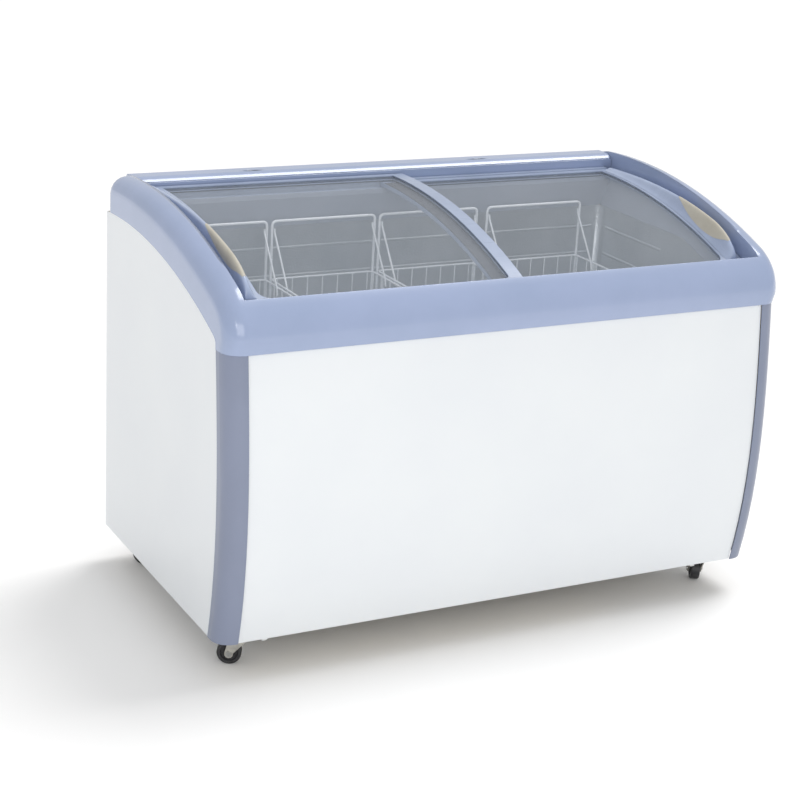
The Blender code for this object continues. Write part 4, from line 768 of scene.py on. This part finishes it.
# ---------------------------------------------------------------- lids
@dataclass
class SlidingLid:
    """One curved lid: frame, glass, corner fillets, seals, fin handle and grip; on the lower lid, a dark strip of
    painted shade over the inner stile.
    """

    label: str
    side: int
    roof: RoofArc = field(default_factory=RoofArc)
    stations: int = 40
    fin_width: float = 24 * MM
    fin_crown: float = 38 * MM      # height of the fin at the grip
    fin_middle: float = 19 * MM
    fin_end: float = 6 * MM
    crown_reach: float = 80 * MM    # from the fin's front end back to its crown
    crest_at: float = 8 * MM        # from the fin's outer face in to its crest
    grip_proud: float = 0.8 * MM
    grip_thickness: float = 1.6 * MM
    grip_outwards: float = 4.2      # steps of the fin's section that the grip covers from the crest
    grip_inwards: float = 5.6
    corner_radius: float = 24 * MM
    stile_width: float = 30 * MM
    glass_groove: float = 8 * MM    # depth of the glass in its frame

    @property
    def body(self) -> str:
        """The CAD body that the lid is."""
        return f"{self.label}_lid"

    @property
    def upper(self) -> bool:
        """Whether this is the upper lid."""
        return self.side < 0

    def build(self) -> None:
        """Makes and dresses every piece of the lid."""
        dress_skin(f"lid_frame_{self.label}", LID_PVC, self.body)
        dress_skin(f"lid_glass_{self.label}", GLASS, self.body)
        self._fin()
        self._grip()
        self._corner_fillets()
        self._seals_and_shade_strip()

    def _section(self, y: float, height: float) -> list[Vector]:
        """The fin's section at one depth, from its outer foot over the crest to its inner foot.

        Args:
            y: the depth.
            height: the fin's height there.

        Returns:
            Points round the section, open at the lid.
        """
        low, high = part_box(f"lid_handle_{self.label}")
        outer = low.x if self.side < 0 else high.x
        base = self.roof.height(y, self.upper) + 0.4 * MM
        width = self.fin_width
        crest = min(self.crest_at, 0.5 * width)
        profile = [(0.0, 0.0), (0.0, 0.35), (0.2 * MM, 0.66), (1.2 * MM, 0.86), (3.2 * MM, 0.965), (5.6 * MM, 1.0),
                   (crest, 0.985), (crest + 2.4 * MM, 0.90), (crest + 4.6 * MM, 0.74), (crest + 7.2 * MM, 0.52),
                   (crest + 10.0 * MM, 0.30), (crest + 13.0 * MM, 0.13), (width, 0.0)]
        return [Vector((outer - self.side * u, y, base + v * height)) for u, v in profile]

    def _stations(self) -> list[tuple[float, float]]:
        """Depths along the fin with its height at each, close together at the rounded front end."""
        low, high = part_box(f"lid_handle_{self.label}")
        depths = (low.y + (high.y - low.y) * (i / self.stations) ** 1.6 for i in range(self.stations + 1))
        return [(y, self._height(y, low.y, high.y)) for y in depths]

    def _height(self, y: float, front: float, rear: float) -> float:
        """Height of the fin over the lid at one depth.

        Args:
            y: the depth.
            front: the fin's front end.
            rear: the fin's rear end.

        Returns:
            The height in metres.
        """
        crown, middle, end, reach = self.fin_crown, self.fin_middle, self.fin_end, self.crown_reach
        if y < front + reach:
            s = (y - front) / reach
            return end + (crown - end) * math.sqrt(max(0.0, 1 - (1 - s) ** 2.6))
        s = (y - front - reach) / (rear - front - reach)
        return end + (middle - end) * (1 - s) + (crown - middle) * (1 - s) ** 2 * (1 + s)

    def _fin(self) -> None:
        """Lofts the fin handle along the lid."""
        bm = bmesh.new()
        sweep_sections(bm, [self._section(y, height) for y, height in self._stations()])
        make_piece(f"lid_fin_{self.label}", bm, FIN_ABS, self.body, [f"lid_handle_{self.label}"], 50.0)

    def _grip(self) -> None:
        """Lays the soft grip over the crown as a crescent shell."""
        low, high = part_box(f"lid_grip_{self.label}")
        fin_low, fin_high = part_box(f"lid_handle_{self.label}")
        steps, across, crest = 36, 18, 5
        sections = []
        for i in range(steps + 1):
            s = i / steps
            y = low.y + (high.y - low.y) * s
            height = self._height(y, fin_low.y, fin_high.y)
            line = self._section(y, height)
            swell = math.sin(math.pi * (0.02 + 0.96 * s) ** 0.85) ** 0.55
            first = crest - self.grip_outwards * swell
            last = crest + self.grip_inwards * swell
            middle = Vector((line[crest].x, y, line[crest].z - 0.5 * height))
            points = []
            for k in range(across + 1):
                t = first + (last - first) * k / across
                j = min(int(t), len(line) - 2)
                point = line[j].lerp(line[j + 1], t - j)
                away = point - middle
                away.y = 0.0
                points.append(point + away.normalized() * self.grip_proud)
            sections.append(points)
        bm = bmesh.new()
        sweep_sections(bm, sections, Ends.OPEN)
        top = max(bm.faces, key=lambda face: face.calc_center_median().z)
        if top.normal.z < 0:
            bmesh.ops.reverse_faces(bm, faces=bm.faces)
        bmesh.ops.solidify(bm, geom=bm.faces, thickness=self.grip_thickness)
        bmesh.ops.recalc_face_normals(bm, faces=bm.faces)
        make_piece(f"lid_soft_grip_{self.label}", bm, GRIP_TPE, self.body, [f"lid_grip_{self.label}"], 50.0)

    def _corner_fillets(self) -> None:
        """Rounds the window's two front corners with flush fillets."""
        glass_low, glass_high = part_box(f"lid_glass_{self.label}")
        groove = self.glass_groove
        window_y = glass_low.y + groove
        bm = bmesh.new()
        steps = 10
        for x_corner, inward in ((glass_low.x + groove, 1), (glass_high.x - groove, -1)):
            outer_corner = (inward > 0) == (self.side < 0)
            radius = self.corner_radius if outer_corner else 0.4 * self.corner_radius
            rim = [(x_corner - inward * MM, window_y - MM)]
            for k in range(steps + 1):
                angle = math.pi / 2 * k / steps
                rim.append((x_corner + inward * radius * (1 - math.cos(angle)),
                            window_y + radius * (1 - math.sin(angle))))
            top = [Vector((x, y, self.roof.height(y, self.upper) - 0.15 * MM)) for x, y in rim]
            bottom = [Vector((p.x, p.y, p.z - 2.6 * MM)) for p in top]
            part = bmesh.new()
            sweep_sections(part, [top, bottom])
            add_mesh(bm, part)
        make_piece(f"lid_corner_fillets_{self.label}", bm, LID_PVC, self.body)

    def _seals_and_shade_strip(self) -> None:
        """Sets a pile seal under the upper lid's inner stile, in the gap between the lids, and a dark strip under
        the rear rail. On the lower lid the strip over the inner stile is as wide as the stile: partly a seal, mostly
        painted shade where the upper lid shades it.
        """
        low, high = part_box(f"lid_frame_{self.label}")
        inner = high.x if self.side < 0 else low.x
        stile = self.stile_width
        bm = bmesh.new()
        if self.upper:
            near, far, top, height = inner - stile, inner - stile + 6 * MM, -self.roof.lid_thickness, 2.8 * MM
        else:
            # The lower lid's strip covers its whole inner stile: partly a seal, mostly painted shade where the upper
            # lid shades that stile.
            near, far, top, height = inner + 0.3 * MM, inner + stile, 1.0 * MM, 1.2 * MM
        self._strip(bm, (near, far), (low.y + 20 * MM, high.y - 20 * MM), top, height)
        glass_low, glass_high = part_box(f"lid_glass_{self.label}")
        groove = self.glass_groove
        rear = glass_high.y - groove
        self._strip(bm, (glass_low.x + groove, glass_high.x - groove), (rear, rear + 5 * MM),
                    -self.roof.lid_thickness, 2.4 * MM)
        make_piece(f"lid_seal_and_shade_strips_{self.label}", bm, SEAL_PILE_AND_SHADE, self.body)

    def _strip(self, bm: bmesh.types.BMesh, across: tuple[float, float], depth: tuple[float, float], top: float,
               height: float) -> None:
        """Adds a strip that follows the lid's curve.

        Args:
            bm: the mesh to add it to.
            across: its left and right side.
            depth: its front and rear end.
            top: its upper face over the lid's own.
            height: how thick it is.
        """
        steps = 24
        (left, right), part = across, bmesh.new()
        sections = []
        for i in range(steps + 1):
            y = depth[0] + (depth[1] - depth[0]) * i / steps
            upper = self.roof.height(y, self.upper) + top
            sections.append([(left, y, upper - height), (right, y, upper - height), (right, y, upper),
                             (left, y, upper)])
        sweep_sections(part, sections)
        add_mesh(bm, part)


# ---------------------------------------------------------------- baskets
@dataclass
class WireBasket:
    """A basket of coated wire with a raised handle loop at the rear and two slanted stays."""

    index: int
    handle_wire: float = 3.0 * MM   # radius
    frame_wire: float = 2.2 * MM
    fill_wire: float = 1.4 * MM
    corner: float = 14 * MM
    lengthwise_pitch: float = 36 * MM
    crosswise_pitch: float = 42 * MM
    rim_drop: float = 0.129         # top of the handle down to the rim
    stay_drop: float = 26 * MM
    stay_reach: float = 75 * MM
    leg: float = 0.12               # of the handle loop, down from the rim

    def build(self) -> None:
        """Makes the basket in the space of its CAD cage."""
        node = f"basket_{self.index}"
        low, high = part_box(node)
        inset = self.handle_wire
        left, right = low.x + inset, high.x - inset
        front, rear = low.y + inset, high.y - inset
        floor, top = low.z + self.frame_wire, high.z - inset
        rim = top - self.rim_drop
        bm = bmesh.new()
        self._ring(bm, left, right, front, rear, rim, self.frame_wire)
        depth = rim - floor
        for share in (0.30, 0.62):
            self._ring(bm, left, right, front, rear, rim - depth * share, self.fill_wire)
        self._ring(bm, left, right, front, rear, floor, self.frame_wire)
        self._hoops(bm, (left, right, front, rear), rim, floor)
        self._handle(bm, left, right, rear, rim, top)
        bmesh.ops.recalc_face_normals(bm, faces=bm.faces)
        make_piece(f"{node}_wires", bm, COATED_WIRE, f"{node}_body", [node], 60.0)

    def _ring(self, bm: bmesh.types.BMesh, left: float, right: float, front: float, rear: float, z: float,
              radius: float) -> None:
        """Adds one level ring of wire.

        Args:
            bm: the mesh to add it to.
            left: its left side.
            right: its right side.
            front: its front side.
            rear: its rear side.
            z: its height.
            radius: the wire's radius.
        """
        corners = [(left, front, z), (right, front, z), (right, rear, z), (left, rear, z)]
        add_wire(bm, rounded_path(corners, self.corner, 3, True), radius, 8, True)

    def _hoops(self, bm: bmesh.types.BMesh, sides: tuple[float, float, float, float], rim: float,
               floor: float) -> None:
        """Bends the thin wires down one wall, under the floor and up the other.

        Args:
            bm: the mesh to add them to.
            sides: left, right, front and rear of the basket.
            rim: the rim's height.
            floor: the floor's height.
        """
        left, right, front, rear = sides
        inside = self.frame_wire + self.fill_wire
        count = round((right - left - 2 * self.corner) / self.lengthwise_pitch)
        for i in range(count + 1):
            x = left + self.corner + (right - left - 2 * self.corner) * i / count
            path = [(x, front + inside, rim), (x, front + inside, floor + inside),
                    (x, rear - inside, floor + inside), (x, rear - inside, rim)]
            add_wire(bm, rounded_path(path, 10 * MM, 2), self.fill_wire, 6)
        count = round((rear - front - 2 * self.corner) / self.crosswise_pitch)
        for i in range(count + 1):
            y = front + self.corner + (rear - front - 2 * self.corner) * i / count
            path = [(left + inside, y, rim), (left + inside, y, floor + inside / 2),
                    (right - inside, y, floor + inside / 2), (right - inside, y, rim)]
            add_wire(bm, rounded_path(path, 10 * MM, 2), self.fill_wire, 6)

    def _handle(self, bm: bmesh.types.BMesh, left: float, right: float, rear: float, rim: float, top: float) -> None:
        """Adds the handle loop and its two stays.

        Args:
            bm: the mesh to add them to.
            left: the basket's left side.
            right: the basket's right side.
            rear: the basket's rear side.
            rim: the rim's height.
            top: the height of the loop's middle line.
        """
        down = rim - self.leg
        loop = [(left, rear, down), (left, rear, top), (right, rear, top), (right, rear, down)]
        add_wire(bm, rounded_path(loop, 11 * MM, 5), self.handle_wire, 10)
        for x, inward in ((left, 1), (right, -1)):
            aside = x + inward * 1.9 * self.handle_wire
            high, back = top - self.stay_drop, rear - self.stay_reach
            stay = [(aside, rear - MM, high + 10 * MM), (aside, rear - 2 * MM, high), (aside, back, rim + MM),
                    (aside, back - 4 * MM, rim - 14 * MM)]
            add_wire(bm, rounded_path(stay, 6 * MM, 3), self.frame_wire, 8)


# ---------------------------------------------------------------- casters
@dataclass
class Caster:
    """A swivel caster: plate with bolts, ball race, fork, axle nut, tyre and hub."""

    label: str
    bolt_inset: float = 8 * MM
    plate_sheet: float = 2.5 * MM
    race_gap: float = 0.3 * MM
    half_tread: float = 10 * MM
    bore: float = 4.4 * MM
    hub: float = 9 * MM
    rim_depth: float = 7.5 * MM     # from the tread in to the web
    tread_edge: float = 2.6 * MM

    def build(self) -> None:
        """Makes and dresses every piece of the caster."""
        fork_body, wheel_body = f"swivel_{self.label}", f"wheel_{self.label}"
        dress_skin(f"caster_plate_{self.label}", ZINC)
        dress_skin(f"caster_fork_{self.label}", ZINC, fork_body)
        dress_skin(f"caster_axle_{self.label}", STEEL, fork_body)
        self._wheel(wheel_body)
        self._race(fork_body)
        self._bolts()

    def _joint(self, child: str) -> dict:
        """The frame's joint that moves a body."""
        return next(joint for joint in FRAME["joints"] if joint["child"] == child)

    def _wheel(self, body: str) -> None:
        """Turns the wheel: a rounded tread, a step down to the web, and a hub.

        Args:
            body: the wheel's CAD body.
        """
        joint = self._joint(body)
        radius = joint["pos_m"][2]
        bore, hub, web = self.bore, self.hub, radius - self.rim_depth
        half, edge = self.half_tread, self.tread_edge
        arc = [(radius - edge * (1 - math.cos(a)), half - edge * (1 - math.sin(a)))
               for a in (math.radians(d) for d in (90, 67, 45, 22, 0))]
        right = [(bore, half), (hub - 1 * MM, half), (hub, half - 1 * MM), (hub + 0.8 * MM, half - 4 * MM),
                 (web - 1 * MM, half - 4 * MM), (web, half - 1 * MM), (web + 1 * MM, half)] + arc
        left = [(r, -z) for r, z in right[::-1]]
        bm = bmesh.new()
        add_turned(bm, right + left + [right[0]], joint["pos_m"], joint["axis"], 40)
        make_piece(f"caster_tyre_{self.label}", bm, NYLON, body, [f"caster_wheel_{self.label}"])

    def _race(self, body: str) -> None:
        """Turns the ball race between plate and fork.

        Args:
            body: the fork's CAD body.
        """
        joint = self._joint(body)
        x, y, _ = joint["pos_m"]
        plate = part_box(f"caster_plate_{self.label}")
        fork_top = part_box(f"caster_fork_{self.label}")[1].z
        low = fork_top + self.race_gap
        high = plate[1].z - self.plate_sheet - self.race_gap
        if high - low < 2 * self.race_gap:
            return
        bm = bmesh.new()
        inner, outer, bulge = 6 * MM, 15 * MM, 17 * MM
        ring = [(inner, high), (outer, high), (bulge, (low + high) / 2), (outer, low), (inner, low), (inner, high)]
        add_turned(bm, ring, (x, y, 0), (0, 0, 1), 32)
        make_piece(f"caster_race_{self.label}", bm, ZINC, body)

    def _bolts(self) -> None:
        """Sets four hexagon heads under the plate, clear of the turning fork."""
        low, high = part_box(f"caster_plate_{self.label}")
        under = high.z - self.plate_sheet
        bm = bmesh.new()
        for x in (low.x + self.bolt_inset, high.x - self.bolt_inset):
            for y in (low.y + self.bolt_inset, high.y - self.bolt_inset):
                bmesh.ops.create_cone(bm, cap_ends=True, segments=6, radius1=4.2 * MM, radius2=4.6 * MM,
                                      depth=2.6 * MM, matrix=Matrix.Translation((x, y, under - 1.3 * MM)))
        make_piece(f"caster_bolts_{self.label}", bm, STEEL, CABINET)


# ---------------------------------------------------------------- machine compartment
@dataclass
class MachineRoom:
    """Compressor, condenser, fan and controls behind the rear panel."""

    ticks: int = 7
    tick_angle: float = 45.0        # degrees from tick to tick
    tick_inset: float = 5.5 * MM    # from the cup's side
    cup_floor: float = 2 * MM

    def build(self) -> None:
        """Dresses the machinery and marks the thermostat."""
        for node, finish in (("compressor", BLACK_ENAMEL), ("compressor_mount", ZINC), ("terminal_box", DARK_PP),
                             ("condenser_coil", BLACK_ENAMEL), ("filter_drier", COPPER), ("fan_shroud", DARK_PP),
                             ("fan_motor", BLACK_ENAMEL), ("thermostat_housing", DARK_PP)):
            dress_skin(node, finish)
        dress_skin("fan_blade", DARK_PP, "fan")
        dress_skin("thermostat_knob", LID_PVC, "knob")
        self._dial()

    def _dial(self) -> None:
        """Raises tick marks round the thermostat's knob, on the bottom of its cup."""
        low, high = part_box("thermostat_knob")
        cup_low, cup_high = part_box("thermostat_housing")
        x, z = (low.x + high.x) / 2, (cup_low.z + cup_high.z) / 2
        face = cup_low.y + self.cup_floor
        ring = (cup_high.x - cup_low.x) / 2 - self.tick_inset
        bm = bmesh.new()
        for i in range(self.ticks):
            angle = math.radians(self.tick_angle * (i - (self.ticks - 1) / 2))
            spot = (x + ring * math.sin(angle), face + 0.2 * MM, z + ring * math.cos(angle))
            part = bmesh.new()
            add_box(part, (-0.6 * MM, -0.3 * MM, -2.2 * MM), (0.6 * MM, 0.3 * MM, 2.2 * MM))
            bmesh.ops.transform(part, verts=part.verts,
                                matrix=Matrix.Translation(spot) @ Matrix.Rotation(angle, 4, "Y"))
            add_mesh(bm, part)
        make_piece("thermostat_ticks", bm, COATED_WIRE, CABINET)


# ---------------------------------------------------------------- studio
@dataclass
class Studio:
    """Pale floor, soft light and the camera."""

    camera_place: tuple[float, float, float] = (-1.934, -3.402, 1.732)
    heading: float = 28.42          # degrees from +Y towards +X
    dip: float = 18.65              # degrees below the horizon
    roll: float = 3.24
    lens: float = 85.0
    floor_size: float = 30.0
    sky: float = 0.70
    sun_width: float = 30.0         # degrees that the key light spans

    def build(self) -> None:
        """Makes the floor, the lights and the camera."""
        self._floor()
        self._world()
        self._sun((0.46, 0.16, 0.87), 1.45)
        self._light("front_fill", (-1.6, -4.6, 2.2), (0.1, 0.0, 0.4), (3.4, 2.2), 50.0)
        self._light("corner_strip", (-2.4, -2.6, 2.2), (-0.6, -0.3, 0.7), (0.16, 0.8), 3.5)
        self._camera()

    def _floor(self) -> None:
        """Lays a plain white floor."""
        bm = bmesh.new()
        bmesh.ops.create_grid(bm, x_segments=1, y_segments=1, size=self.floor_size)
        mesh = bpy.data.meshes.new("studio_floor")
        bm.to_mesh(mesh)
        bm.free()
        paint, tree, shader, place = start_material("studio_white_paint")
        shader.inputs["Roughness"].default_value = 0.9
        shader.inputs["Specular IOR Level"].default_value = 0.1
        cloud = add_node(tree, "ShaderNodeTexNoise", {"Scale": 1.5, "Detail": 3.0}, {"Vector": place})
        mix = add_node(tree, "ShaderNodeMix", {"A": linear("#fdfcfb"), "B": linear("#faf9f8")},
                       {"Factor": cloud.outputs["Fac"]}, data_type="RGBA")
        tree.links.new(mix.outputs["Result"], shader.inputs["Base Color"])
        mesh.materials.append(paint)
        put_in_scene("studio_floor", mesh)

    def _world(self) -> None:
        """Fills the room with even white light."""
        world = bpy.data.worlds.new("studio_room")
        bpy.context.scene.world = world
        world.use_nodes = True
        room = world.node_tree.nodes["Background"]
        room.inputs["Color"].default_value = linear("#fdfeff")
        room.inputs["Strength"].default_value = self.sky
        bpy.context.scene.view_settings.view_transform = "Standard"

    def _light(self, name: str, place: Point, aim: Point, size: tuple[float, float], power: float) -> None:
        """Hangs one soft box.

        Args:
            name: the light's name.
            place: where it hangs.
            aim: what it points at.
            size: its width and height.
            power: its power in watts.
        """
        lamp = bpy.data.lights.new(name, "AREA")
        lamp.shape = "RECTANGLE"
        lamp.size, lamp.size_y = size
        lamp.energy = power
        light = put_in_scene(name, lamp)
        light.location = place
        light.rotation_euler = (Vector(aim) - Vector(place)).to_track_quat("-Z", "Y").to_euler()

    def _sun(self, towards: Point, strength: float) -> None:
        """Sets the key light, far away up to the right and behind, as soft as a window.

        Args:
            towards: direction from the object to the light.
            strength: its strength in watts per square metre.
        """
        lamp = bpy.data.lights.new("key", "SUN")
        lamp.energy = strength
        lamp.angle = math.radians(self.sun_width)
        put_in_scene("key", lamp).rotation_euler = Vector(towards).to_track_quat("Z", "Y").to_euler()

    def _camera(self) -> None:
        """Sets up the camera at standing eye height, in front and to the left."""
        data = bpy.data.cameras.new("view")
        data.lens = self.lens
        data.sensor_width = 36.0
        camera = put_in_scene("view", data)
        turn = Matrix.Rotation(-math.radians(self.heading), 4, "Z")
        tilt = Matrix.Rotation(math.radians(90 - self.dip), 4, "X")
        bank = Matrix.Rotation(math.radians(self.roll), 4, "Z")
        camera.matrix_world = Matrix.Translation(self.camera_place) @ turn @ tilt @ bank
        bpy.context.scene.camera = camera


# ---------------------------------------------------------------- assembly
FRAME: dict = {}


def main() -> None:
    """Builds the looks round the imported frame, one sub-assembly after another."""
    logging.basicConfig(level=logging.INFO, format="%(message)s")
    for old in list(bpy.data.objects):
        bpy.data.objects.remove(old, do_unlink=True)
    FRAME.update(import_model())
    Studio().build()
    Cabinet().build()
    Tank().build()
    TopFrame().build()
    for label, side in (("left", -1), ("right", 1)):
        SlidingLid(label, side).build()
    for index in (1, 2, 3, 4):
        WireBasket(index).build()
    for label in ("front_left", "front_right", "rear_left", "rear_right"):
        Caster(label).build()
    MachineRoom().build()


if __name__ == "__main__":
    main()
